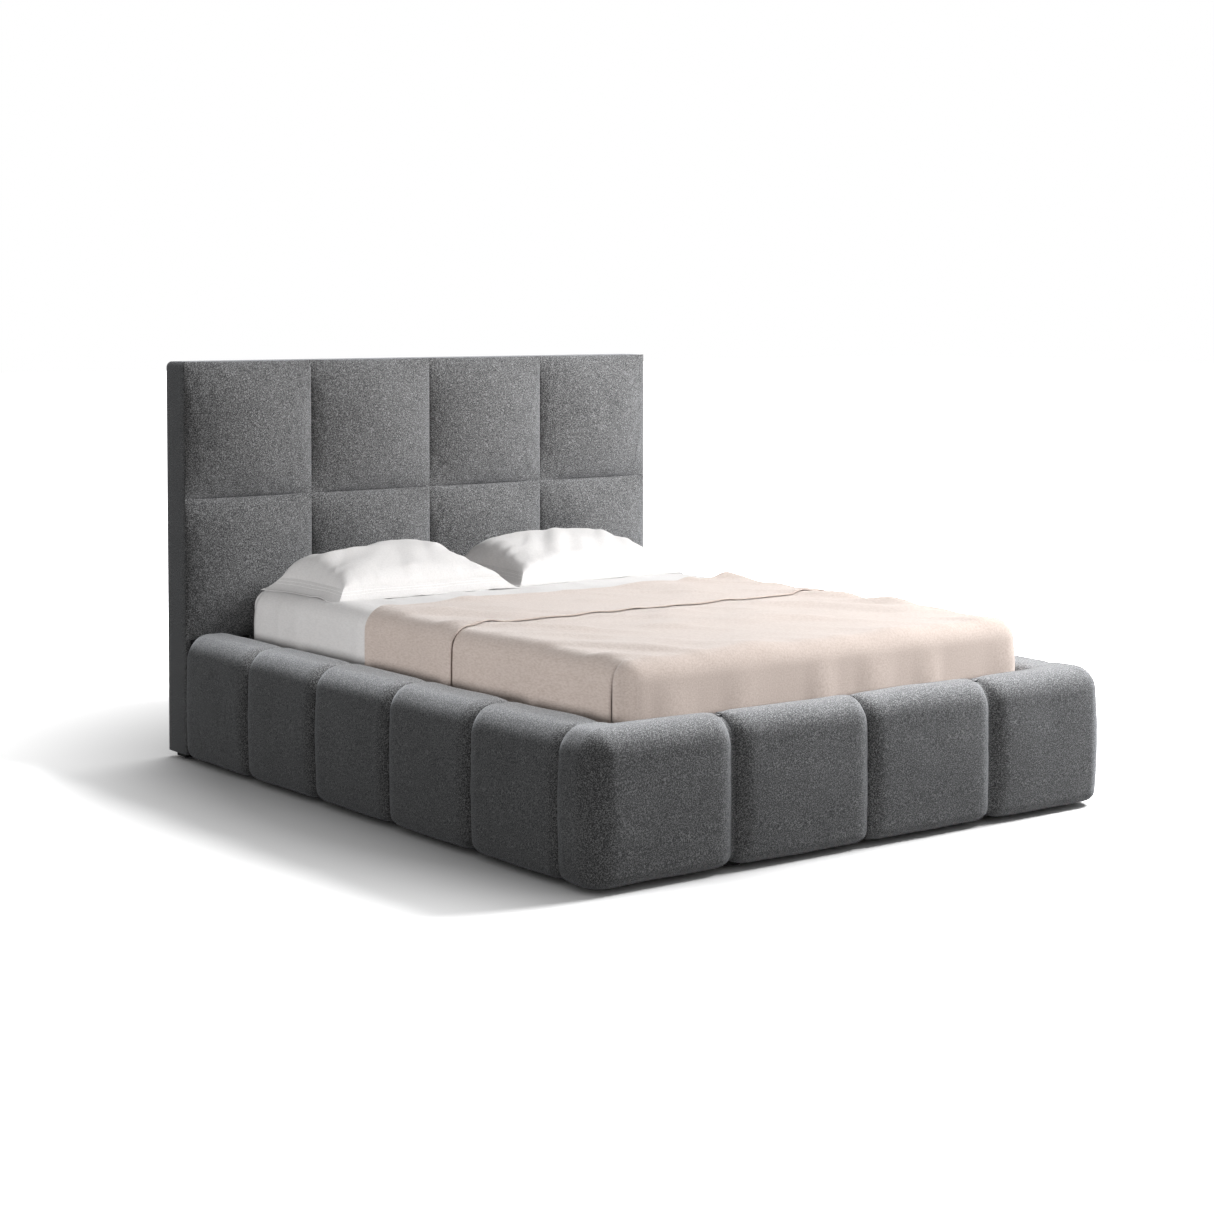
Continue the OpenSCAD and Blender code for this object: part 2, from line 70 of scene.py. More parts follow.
LOG = logging.getLogger("bed")
FRAME_BODY = "frame"
BASE_BODY = "lift_base"
SHARP_ANGLE = math.radians(55)

Points = np.ndarray
Faces = list[tuple[int, ...]]
Skin = tuple[Points, Points, Faces]
Colour = tuple[float, float, float]
Triple = tuple[float, float, float]
Socket = bpy.types.NodeSocket


# ---------------------------------------------------------------- small tools


def relief(points: Points, wave: float, seed: int, stretch: Triple = (1, 1, 1)) -> Points:
    """Smooth random relief made of plane waves.

    Args:
        points: Places, one row of x, y, z each.
        wave: Typical length of a wave, in metres.
        seed: Picks the waves.
        stretch: How fast the relief changes along each axis; 0 leaves that axis out.

    Returns:
        A height for each point, mostly between -1 and 1.
    """
    rng = np.random.default_rng(abs(seed))
    count = 16
    total = np.zeros(len(points))
    for _ in range(count):
        way = rng.normal(size=3)
        way = way / np.linalg.norm(way) * np.array(stretch)
        length = wave * rng.uniform(0.7, 1.8)
        total += np.sin(math.tau * (points @ way) / length + rng.uniform(0, math.tau))
    return total / math.sqrt(count)


def smooth_step(x: Points, low: float, high: float) -> Points:
    """Rises smoothly from 0 at low to 1 at high."""
    t = np.clip((x - low) / (high - low), 0, 1)
    return t * t * (3 - 2 * t)


def spaced(low: float, high: float, step: float) -> Points:
    """Evenly spaced numbers from low to high, both included, about step apart."""
    return np.linspace(low, high, max(2, round((high - low) / step) + 1))


def new_object(name: str, verts: Points, faces: Faces) -> bpy.types.Object:
    """Makes a smooth-shaded mesh object, with doubles merged and faces turned outwards.

    Args:
        name: Name of the piece.
        verts: One row of x, y, z for each corner.
        faces: Corner numbers of each face.

    Returns:
        The object, linked to the scene.
    """
    mesh = bpy.data.meshes.new(name)
    mesh.from_pydata([tuple(map(float, p)) for p in verts], [], faces)
    work = bmesh.new()
    work.from_mesh(mesh)
    bmesh.ops.remove_doubles(work, verts=work.verts, dist=2e-6)
    bmesh.ops.dissolve_degenerate(work, edges=work.edges, dist=1e-6)
    bmesh.ops.recalc_face_normals(work, faces=work.faces)
    for edge in work.edges:
        edge.smooth = len(edge.link_faces) != 2 or edge.calc_face_angle() < SHARP_ANGLE
    work.to_mesh(mesh)
    work.free()
    mesh.polygons.foreach_set("use_smooth", [True] * len(mesh.polygons))
    obj = bpy.data.objects.new(name, mesh)
    bpy.context.scene.collection.objects.link(obj)
    return obj


def grid_faces(rows: int, cols: int, wrap: bool = False) -> Faces:
    """Quads that join a grid of points given row by row.

    Args:
        rows: Number of rows.
        cols: Number of points in a row.
        wrap: True if the last point of a row joins the first.

    Returns:
        Corner numbers of each quad.
    """
    last = cols if wrap else cols - 1
    return [
        (r * cols + c, r * cols + (c + 1) % cols, (r + 1) * cols + (c + 1) % cols, (r + 1) * cols + c)
        for r in range(rows - 1)
        for c in range(last)
    ]


def add_modifier(obj: bpy.types.Object, kind: str, **settings: object) -> None:
    """Adds a modifier of that kind with those settings."""
    modifier = obj.modifiers.new(kind.lower(), kind)
    for key, value in settings.items():
        setattr(modifier, key, value)


def askew(points: Points, way: int) -> Points:
    """Points turned by 37 degrees about Z, one way or the other, so that creases run aslant."""
    return points @ np.array([[0.8, -0.6 * way, 0], [0.6 * way, 0.8, 0], [0, 0, 1]])


def bake_modifiers(obj: bpy.types.Object) -> None:
    """Turns the object with its modifiers into a plain mesh."""
    depsgraph = bpy.context.evaluated_depsgraph_get()
    mesh = bpy.data.meshes.new_from_object(obj.evaluated_get(depsgraph))
    obj.modifiers.clear()
    obj.data = mesh


def finish_piece(
    obj: bpy.types.Object, finish: "Finish", body: str, stands_for: tuple[str, ...] = ()
) -> bpy.types.Object:
    """Gives a piece its material and body, and hides the nodes that it stands for.

    Args:
        obj: The piece, in place.
        finish: Its material.
        body: The body that it moves with.
        stands_for: Nodes that it replaces.

    Returns:
        The same object.
    """
    if not obj.data.materials:
        obj.data.materials.append(finish.material())
    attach(obj, body)
    if stands_for:
        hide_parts(*stands_for)
    LOG.info("%s on %s: %d faces", obj.name, body, len(obj.data.polygons))
    return obj


# ------------------------------------------------------------------- finishes


class Nodes:
    """A short way to write a material's node tree."""

    def __init__(self, name: str) -> None:
        """Makes an empty material of that name, with its output and shader."""
        self.made = bpy.data.materials.new(name)
        self.made.use_nodes = True
        self.tree = self.made.node_tree
        self.tree.nodes.clear()
        self.output = self.tree.nodes.new("ShaderNodeOutputMaterial")
        self.shader = self.tree.nodes.new("ShaderNodeBsdfPrincipled")
        self.tree.links.new(self.shader.outputs[0], self.output.inputs["Surface"])
        self.place = self.tree.nodes.new("ShaderNodeTexCoord").outputs["Object"]

    def add(self, kind: str, inputs: dict[str, object] | None = None, **settings: object) -> bpy.types.Node:
        """Adds a node.

        Args:
            kind: The node's type, without its prefix.
            inputs: Values or sockets for its inputs, by name or number.
            settings: Its properties.

        Returns:
            The node.
        """
        node = self.tree.nodes.new("ShaderNode" + kind)
        for key, value in settings.items():
            setattr(node, key, value)
        for key, value in (inputs or {}).items():
            if isinstance(value, bpy.types.NodeSocket):
                self.tree.links.new(value, node.inputs[key])
            else:
                node.inputs[key].default_value = value
        return node

    def noise(self, scale: float, detail: float = 2.0, stretch: Triple | None = None) -> Socket:
        """A noise of about 1/scale metres, stretched along the axes if asked."""
        place = self.place
        if stretch:
            place = self.add("Mapping", {"Vector": place, "Scale": stretch}).outputs[0]
        node = self.add("TexNoise", {"Vector": place, "Scale": scale, "Detail": detail, "Roughness": 0.6})
        return node.outputs["Fac"]

    def ramp(self, fac: Socket, stops: list[tuple[float, Colour]]) -> Socket:
        """A colour ramp through the given stops."""
        node = self.add("ValToRGB", {"Fac": fac})
        points = node.color_ramp.elements
        while len(points) < len(stops):
            points.new(0.5)
        for point, (position, colour) in zip(points, stops):
            point.position = position
            point.color = (*colour, 1)
        return node.outputs["Color"]

    def math(self, operation: str, a: object, b: object = 0.0) -> Socket:
        """A sum, product or other operation on two numbers."""
        return self.add("Math", {0: a, 1: b}, operation=operation).outputs[0]

    def mix(self, fac: object, a: object, b: object, blend: str = "MIX") -> Socket:
        """A blend of two colours."""
        node = self.add("Mix", {0: fac, 6: a, 7: b}, data_type="RGBA", blend_type=blend)
        return node.outputs[2]

    def bump(self, height: Socket, distance: float, strength: float = 1.0) -> None:
        """Makes the shader's surface rise and fall with height."""
        node = self.add("Bump", {"Height": height, "Distance": distance, "Strength": strength})
        self.tree.links.new(node.outputs[0], self.shader.inputs["Normal"])

    def set(self, **values: object) -> None:
        """Sets or links the shader's inputs; an underscore stands for a space."""
        for key, value in values.items():
            socket = self.shader.inputs[key.replace("_", " ")]
            if isinstance(value, bpy.types.NodeSocket):
                self.tree.links.new(value, socket)
            else:
                socket.default_value = value


@dataclass(frozen=True)
class Finish:
    """A finish with its slot in the record."""

    name: str
    slot: str

    def material(self) -> bpy.types.Material:
        """The finish's material, made once."""
        made = bpy.data.materials.get("finish_" + self.name)
        return made or self.build(Nodes("finish_" + self.name))

    def build(self, nodes: Nodes) -> bpy.types.Material:
        """Fills the node tree; each kind of finish has its own."""
        raise NotImplementedError


@dataclass(frozen=True)
class HeatheredCloth(Finish):
    """Upholstery woven from dark and light fibres, with a soft nap."""

    dark: Colour = (0.032, 0.032, 0.033)
    middle: Colour = (0.116, 0.116, 0.117)
    light: Colour = (0.50, 0.503, 0.508)
    nap: float = 0.72

    def build(self, nodes: Nodes) -> bpy.types.Material:
        """Mottled fibres of three sizes over a fine weave."""
        blotch = nodes.noise(300, 2)
        fleck = nodes.noise(540, 2)
        fibre = nodes.noise(1100, 1, (1, 1, 1.7))
        cloud = nodes.noise(9, 2)
        blend = nodes.math("ADD", nodes.math("MULTIPLY", blotch, 0.42), nodes.math("MULTIPLY", fleck, 0.38))
        blend = nodes.math("ADD", blend, nodes.math("MULTIPLY", fibre, 0.20))
        colour = nodes.ramp(blend, [(0.40, self.dark), (0.50, self.middle), (0.61, self.light)])
        shade = nodes.ramp(cloud, [(0.3, (0.92, 0.92, 0.92)), (0.7, (1.06, 1.06, 1.06))])
        colour = nodes.mix(1.0, colour, shade, "MULTIPLY")
        height = nodes.math("ADD", nodes.math("MULTIPLY", blend, 0.8), nodes.math("MULTIPLY", fibre, 0.5))
        nodes.bump(height, 0.0012, 0.55)
        nodes.set(Base_Color=colour, Roughness=0.92, Specular_IOR_Level=0.15)
        nodes.set(Sheen_Weight=self.nap, Sheen_Roughness=0.50, Sheen_Tint=(0.85, 0.88, 0.93, 1))
        return nodes.made


@dataclass(frozen=True)
class PlainCloth(Finish):
    """A plain-woven cloth: bed linen, blanket, lining or webbing."""

    base: Colour = (0.8, 0.8, 0.8)
    deep: Colour = (0.7, 0.7, 0.7)
    thread: float = 0.0012
    relief: float = 0.0004
    nap: float = 0.2
    through: float = 0.0

    def build(self, nodes: Nodes) -> bpy.types.Material:
        """Crossing threads, slubs along them and a slow change of shade."""
        turns = math.tau / self.thread / 20
        wave = {"Vector": nodes.place, "Scale": turns, "Distortion": 0.35, "Detail": 1.0}
        warp, weft, rise = (nodes.add("TexWave", wave, bands_direction=axis).outputs["Fac"] for axis in "XYZ")
        weave = nodes.math("MULTIPLY", nodes.math("ADD", warp, weft), 0.5)
        weave = nodes.math("ADD", nodes.math("MULTIPLY", weave, 0.6), nodes.math("MULTIPLY", rise, 0.4))
        slub = nodes.noise(240, 2, (1.0, 0.35, 1.0))
        cloud = nodes.noise(6, 2)
        blend = nodes.math("ADD", nodes.math("MULTIPLY", weave, 0.45), nodes.math("MULTIPLY", slub, 0.55))
        colour = nodes.ramp(slub, [(0.30, self.deep), (0.62, self.base)])
        shade = nodes.ramp(cloud, [(0.3, (0.975, 0.975, 0.975)), (0.7, (1.02, 1.02, 1.02))])
        colour = nodes.mix(1.0, colour, shade, "MULTIPLY")
        nodes.bump(blend, self.relief, 0.7)
        nodes.set(Base_Color=colour, Roughness=0.9, Specular_IOR_Level=0.2)
        nodes.set(Sheen_Weight=self.nap, Sheen_Roughness=0.5)
        if self.through:
            nodes.set(Subsurface_Weight=self.through, Subsurface_Radius=(0.01, 0.009, 0.008))
        return nodes.made


@dataclass(frozen=True)
class Timber(Finish):
    """Wood or board with grain along one axis."""

    pale: Colour = (0.62, 0.47, 0.30)
    dark: Colour = (0.42, 0.29, 0.17)
    along: Triple = (0.08, 1.0, 1.0)
    sheen: float = 0.45
    streaks: float = 28.0

    def build(self, nodes: Nodes) -> bpy.types.Material:
        """Long streaks, fine pores and a satin lacquer."""
        streak = nodes.noise(self.streaks, 4, self.along)
        pore = nodes.noise(420, 2, self.along)
        blend = nodes.math("ADD", nodes.math("MULTIPLY", streak, 0.7), nodes.math("MULTIPLY", pore, 0.3))
        colour = nodes.ramp(blend, [(0.3, self.dark), (0.7, self.pale)])
        rough = nodes.math("ADD", nodes.math("MULTIPLY", pore, 0.25), self.sheen - 0.1)
        nodes.bump(blend, 0.0004, 0.5)
        nodes.set(Base_Color=colour, Roughness=rough)
        return nodes.made


@dataclass(frozen=True)
class Metal(Finish):
    """Coated, plated or polished steel."""

    colour: Colour = (0.03, 0.03, 0.032)
    metallic: float = 0.0
    rough: float = 0.45
    orange_peel: float = 0.0002

    def build(self, nodes: Nodes) -> bpy.types.Material:
        """Fine surface relief with worn, uneven gloss."""
        peel = nodes.noise(520, 2)
        wear = nodes.noise(18, 4)
        light = tuple(min(1.0, c * 1.25 + 0.004) for c in self.colour)
        colour = nodes.ramp(wear, [(0.35, self.colour), (0.8, light)])
        rough = nodes.math("ADD", nodes.math("MULTIPLY", wear, 0.2), self.rough - 0.1)
        nodes.bump(peel, self.orange_peel, 0.6)
        nodes.set(Base_Color=colour, Roughness=rough, Metallic=self.metallic)
        return nodes.made


@dataclass(frozen=True)
class Moulding(Finish):
    """Moulded plastic or rubber with a fine grain."""

    colour: Colour = (0.02, 0.02, 0.02)
    rough: float = 0.55

    def build(self, nodes: Nodes) -> bpy.types.Material:
        """A spark-eroded grain with slight unevenness of shade."""
        grain = nodes.noise(1500, 2)
        cloud = nodes.noise(25, 2)
        light = tuple(c * 1.3 + 0.003 for c in self.colour)
        colour = nodes.ramp(cloud, [(0.3, self.colour), (0.75, light)])
        rough = nodes.math("ADD", nodes.math("MULTIPLY", grain, 0.2), self.rough - 0.1)
        nodes.bump(grain, 0.0002, 0.5)
        nodes.set(Base_Color=colour, Roughness=rough)
        return nodes.made


UPHOLSTERY = HeatheredCloth("upholstery", "upholstery")
LINING = PlainCloth(
    "black_lining",
    "lining",
    base=(0.030, 0.030, 0.033),
    deep=(0.016, 0.016, 0.018),
    thread=0.0022,
    relief=0.0005,
    nap=0.1,
)
LINEN = PlainCloth(
    "white_cotton",
    "white_linen",
    base=(0.63, 0.616, 0.610),
    deep=(0.575, 0.562, 0.556),
    thread=0.0011,
    relief=0.0003,
    nap=0.15,
    through=0.06,
)
THREAD = PlainCloth(
    "white_stitching",
    "white_linen",
    base=(0.92, 0.915, 0.91),
    deep=(0.84, 0.83, 0.82),
    thread=0.0008,
    relief=0.0002,
    nap=0.2,
)
BLANKET = PlainCloth(
    "blanket_weave",
    "blanket_weave",
    base=(0.53, 0.453, 0.410),
    deep=(0.435, 0.358, 0.315),
    thread=0.0021,
    relief=0.0009,
    nap=0.35,
)
TICKING = PlainCloth(
    "mattress_ticking",
    "mattress_ticking",
    base=(0.80, 0.79, 0.77),
    deep=(0.68, 0.67, 0.65),
    thread=0.003,
    relief=0.0012,
    nap=0.2,
)
WEBBING = PlainCloth(
    "strap_webbing",
    "webbing",
    base=(0.06, 0.06, 0.065),
    deep=(0.025, 0.025, 0.028),
    thread=0.0018,
    relief=0.0007,
    nap=0.1,
)
BOARD = Timber("raw_board", "timber", (0.56, 0.45, 0.32), (0.40, 0.30, 0.19), (1.0, 0.45, 1.0), 0.6, 150.0)
PANEL = Timber("faced_board", "panel", (0.60, 0.58, 0.55), (0.50, 0.48, 0.45), (0.15, 1.0, 1.0), 0.4)
SLAT_WOOD = Timber(
    "slat_plywood", "slat_wood", (0.74, 0.58, 0.37), (0.58, 0.42, 0.24), (0.06, 1.0, 1.0), 0.35
)
BLACK_STEEL = Metal("black_powder_coat", "black_steel")
ZINC = Metal("zinc_plating", "zinc", (0.60, 0.60, 0.62), 1.0, 0.32, 0.0001)
CHROME = Metal("rod_chrome", "rod_chrome", (0.78, 0.78, 0.80), 1.0, 0.12, 0.00003)
PLASTIC = Moulding("black_plastic", "black_plastic")
RUBBER = Moulding("buffer_rubber", "buffer_rubber", (0.022, 0.021, 0.02), 0.75)

CARRIED_OVER: dict[str, Finish] = {
    "timber": BOARD,
    "panel": PANEL,
    "black_steel": BLACK_STEEL,
    "zinc": ZINC,
    "rod_chrome": CHROME,
    "black_plastic": PLASTIC,
    "buffer_rubber": RUBBER,
    "slat_wood": SLAT_WOOD,
    "webbing": WEBBING,
    "lining": LINING,
    "mattress_ticking": TICKING,
    "white_linen": LINEN,
    "blanket_weave": BLANKET,
    "upholstery": UPHOLSTERY,
}


# ----------------------------------------------------------------- upholstery


def pad_outline_spacing(count: int) -> Points:
    """Numbers from -1 to 1 that crowd together towards both ends."""
    return np.sin(np.linspace(-math.pi / 2, math.pi / 2, count))


@dataclass
class RailPads:
    """The puffed pads of both side rails and of the foot."""

    crease: float = 0.018
    top_dip: float = 0.010
    shoulder_growth: float = 0.012
    shoulder: float = 0.056
    outer_radius: float = 0.070
    inner_radius: float = 0.048
    hem_radius: float = 0.030
    sag: float = 0.006
    belly: float = 0.006
    corner_radius: float = 0.070
    pucker: float = 0.0009
    pucker_wave: float = 0.035
    unevenness: float = 0.0011
    uneven_wave: float = 0.22
    clear: float = 0.0006
    rows: int = 64

    def __post_init__(self) -> None:
        """Reads where the board boxes behind the pads stand."""
        self.box_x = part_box("rail_box_right")[1].x
        self.box_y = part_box("foot_box")[0].y

    def bulge(self, along: Points) -> Points:
        """How full the pad is at each place along it, from 0 in a crease to 1."""
        half = (along[-1] - along[0]) / 2
        off = np.abs(along - along.mean())
        into = np.clip((off - (half - self.shoulder)) / self.shoulder, 0, 1)
        soft = 1 - into**2.5
        return (0.8 * np.sqrt(np.maximum(0, soft)) + 0.2 * soft) * (1 - 0.08 * (off / half) ** 2)

    def section(self, full: float, skin: float, thick: float, bottom: float, top: float) -> Points:
        """Outline of the pad cut across the rail.

        Args:
            full: Fullness there, from 0 to 1.
            skin: Distance from the outer face to the board box behind it.
            thick: Distance from the outer face to the inner face.
            bottom: Height of the underside.
            top: Height of the crown.

        Returns:
            Depth behind the outer face and height of each point, once round.
        """
        out = self.crease * (1 - full)
        top = top - self.top_dip * (1 - full)
        bottom = bottom + 0.8 * self.top_dip * (1 - full)
        r_out = self.outer_radius + self.shoulder_growth * (1 - full)
        r_in, hem = self.inner_radius, self.hem_radius + 0.5 * self.shoulder_growth * (1 - full)
        turn = np.linspace(0, math.pi / 2, 13)
        few = turn[::2]
        rise = np.linspace(0, 1, 14)[1:-1]
        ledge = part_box("rail_box_left")[1].z + self.clear
        behind = skin - self.clear
        belly = self.belly * np.sin(rise * math.pi) * full
        parts = [
            (thick, np.linspace(ledge, top - r_in, 3)[:-1]),
            (thick - r_in + r_in * np.cos(few), top - r_in + r_in * np.sin(few)),
            (np.linspace(thick - r_in, out + r_out, 8)[1:-1], np.full(6, top)),
            (out + r_out - r_out * np.sin(turn), top - r_out + r_out * np.cos(turn)),
            (out - belly, top - r_out + (bottom + hem - top + r_out) * rise),
            (out + hem - hem * np.cos(turn), bottom + hem - hem * np.sin(turn)),
            (behind, np.linspace(bottom, ledge, 9)),
            (np.linspace(behind, thick, 5)[1:-1], ledge),
        ]
        return np.concatenate([np.stack(np.broadcast_arrays(d, z), 1) for d, z in parts])

    def build(self, name: str, node: str, outer: Points, inner: Points, seed: int) -> bpy.types.Object:
        """Makes one pad between an outer and an inner line on the floor plan.

        Args:
            name: Name of the piece.
            node: Node that it replaces.
            outer: Points of the outer face's line.
            inner: The inner face's points, one for each of those.
            seed: Picks its small creases.

        Returns:
            The pad.
        """
        low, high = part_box(node)
        along = np.concatenate([[0], np.cumsum(np.linalg.norm(np.diff(outer, axis=0), axis=1))])
        full = self.bulge(along)
        verts = []
        for k, spot in enumerate(full):
            corner = np.clip(outer[k], [-self.box_x, self.box_y], [self.box_x, np.inf])
            skin = float(np.linalg.norm(corner - outer[k]))
            deep = float(np.linalg.norm(inner[k] - corner))
            cut = self.section(spot, skin, skin + deep, low.z - self.sag, high.z)
            over = np.clip(cut[:, :1] - skin, 0, None) / deep
            share = np.clip(cut[:, :1] / skin, None, 1)
            plan = outer[k] + (corner - outer[k]) * share + (inner[k] - corner) * over
            verts.append(np.column_stack([plan, cut[:, 1]]))
        rings = np.array(verts)
        count = rings.shape[1]
        flat = rings.reshape(-1, 3)
        near_crease = np.repeat((1 - smooth_step(full, 0.45, 0.97)) * (full > 0.02), count)
        middle = rings.mean(axis=1).repeat(count, axis=0)
        way = flat - middle
        way /= np.linalg.norm(way, axis=1)[:, None]
        puckers = self.pucker * relief(flat, self.pucker_wave, seed) * near_crease
        flat = flat + way * puckers[:, None]
        uneven = self.unevenness * relief(flat, self.uneven_wave, seed + 50) * full.repeat(count)
        flat = flat + way * uneven[:, None]
        faces = grid_faces(len(rings), count, wrap=True)
        faces.append(tuple(range(count)))
        faces.append(tuple(len(flat) - 1 - i for i in range(count)))
        pad = finish_piece(new_object(name, flat, faces), UPHOLSTERY, FRAME_BODY, (node,))
        return pad

    def side_rail(self, side: int, word: str) -> None:
        """Makes the five pads of one side rail; side is -1 on the left and 1 on the right."""
        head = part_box("headboard_front_panel")[0].y
        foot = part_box("foot_pad_4")[1].y
        pads = 5
        for number in range(pads):
            node = f"side_pad_{word}_{number + 1}"
            low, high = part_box(node)
            start = foot + (head - foot) * number / pads
            end = foot + (head - foot) * (number + 1) / pads - (0.0008 if number == pads - 1 else 0)
            spots = (start + end) / 2 + (end - start) / 2 * pad_outline_spacing(self.rows)
            outer_x, inner_x = max(abs(low.x), abs(high.x)), min(abs(low.x), abs(high.x))
            outer = np.column_stack([np.full(self.rows, side * outer_x), spots])
            inner = np.column_stack([np.full(self.rows, side * inner_x), spots])
            self.build(f"{word}_rail_pad_{number + 1}", node, outer, inner, 10 * number + 100 + side)

    def foot_middle(self, side: int, number: int) -> None:
        """Makes one of the two middle pads of the foot."""
        node = f"foot_pad_{number}"
        low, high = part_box(node)
        reach = max(abs(low.x), abs(high.x)) + 0.0005
        spots = reach / 2 + reach / 2 * pad_outline_spacing(self.rows)
        outer = np.column_stack([side * spots, np.full(self.rows, low.y)])
        inner = np.column_stack([side * spots, np.full(self.rows, high.y)])
        self.build(node + "_cushion", node, outer, inner, 70 + number)

    def foot_corner(self, side: int, number: int) -> None:
        """Makes a pad that runs round a foot corner."""
        node = f"foot_pad_{number}"
        low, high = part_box(node)
        seam_x = min(abs(low.x), abs(high.x)) - 0.0005
        edge_x = max(abs(low.x), abs(high.x))
        inner_x = min(abs(v) for v in (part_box("rail_box_right")[0].x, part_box("rail_box_right")[1].x))
        inner_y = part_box("foot_box")[1].y
        radius = self.corner_radius
        straight = pad_outline_spacing(60)
        across = seam_x + (edge_x - radius - seam_x) * (straight[:40] + 1) / (straight[39] + 1)
        turn = np.linspace(0, math.pi / 2, 18)[1:-1]
        back = low.y + radius + (high.y + 0.0005 - low.y - radius) * np.sin(np.linspace(0, math.pi / 2, 16))
        bend_x = edge_x - radius
        round_x, round_y = bend_x + radius * np.sin(turn), low.y + radius - radius * np.cos(turn)
        outer_x = np.concatenate([across, round_x, np.full(len(back), edge_x)])
        outer_y = np.concatenate([np.full(len(across), low.y), round_y, back])
        within_x = np.interp(across, [seam_x, bend_x], [seam_x, inner_x])
        within_y = np.interp(back, [back[0], back[-1]], [inner_y, back[-1]])
        rest_x = np.concatenate([within_x, np.full(len(turn) + len(back), inner_x)])
        rest_y = np.concatenate([np.full(len(across) + len(turn), inner_y), within_y])
        outer, inner = np.column_stack([outer_x, outer_y]), np.column_stack([rest_x, rest_y])
        mirror = np.array([side, 1])
        self.build(node + "_cushion", node, outer * mirror, inner * mirror, 80 + number)

    def make(self) -> None:
        """Makes every pad of the rails and the foot."""
        self.side_rail(-1, "left")
        self.side_rail(1, "right")
        self.foot_corner(-1, 1)
        self.foot_middle(-1, 2)
        self.foot_middle(1, 3)
        self.foot_corner(1, 4)


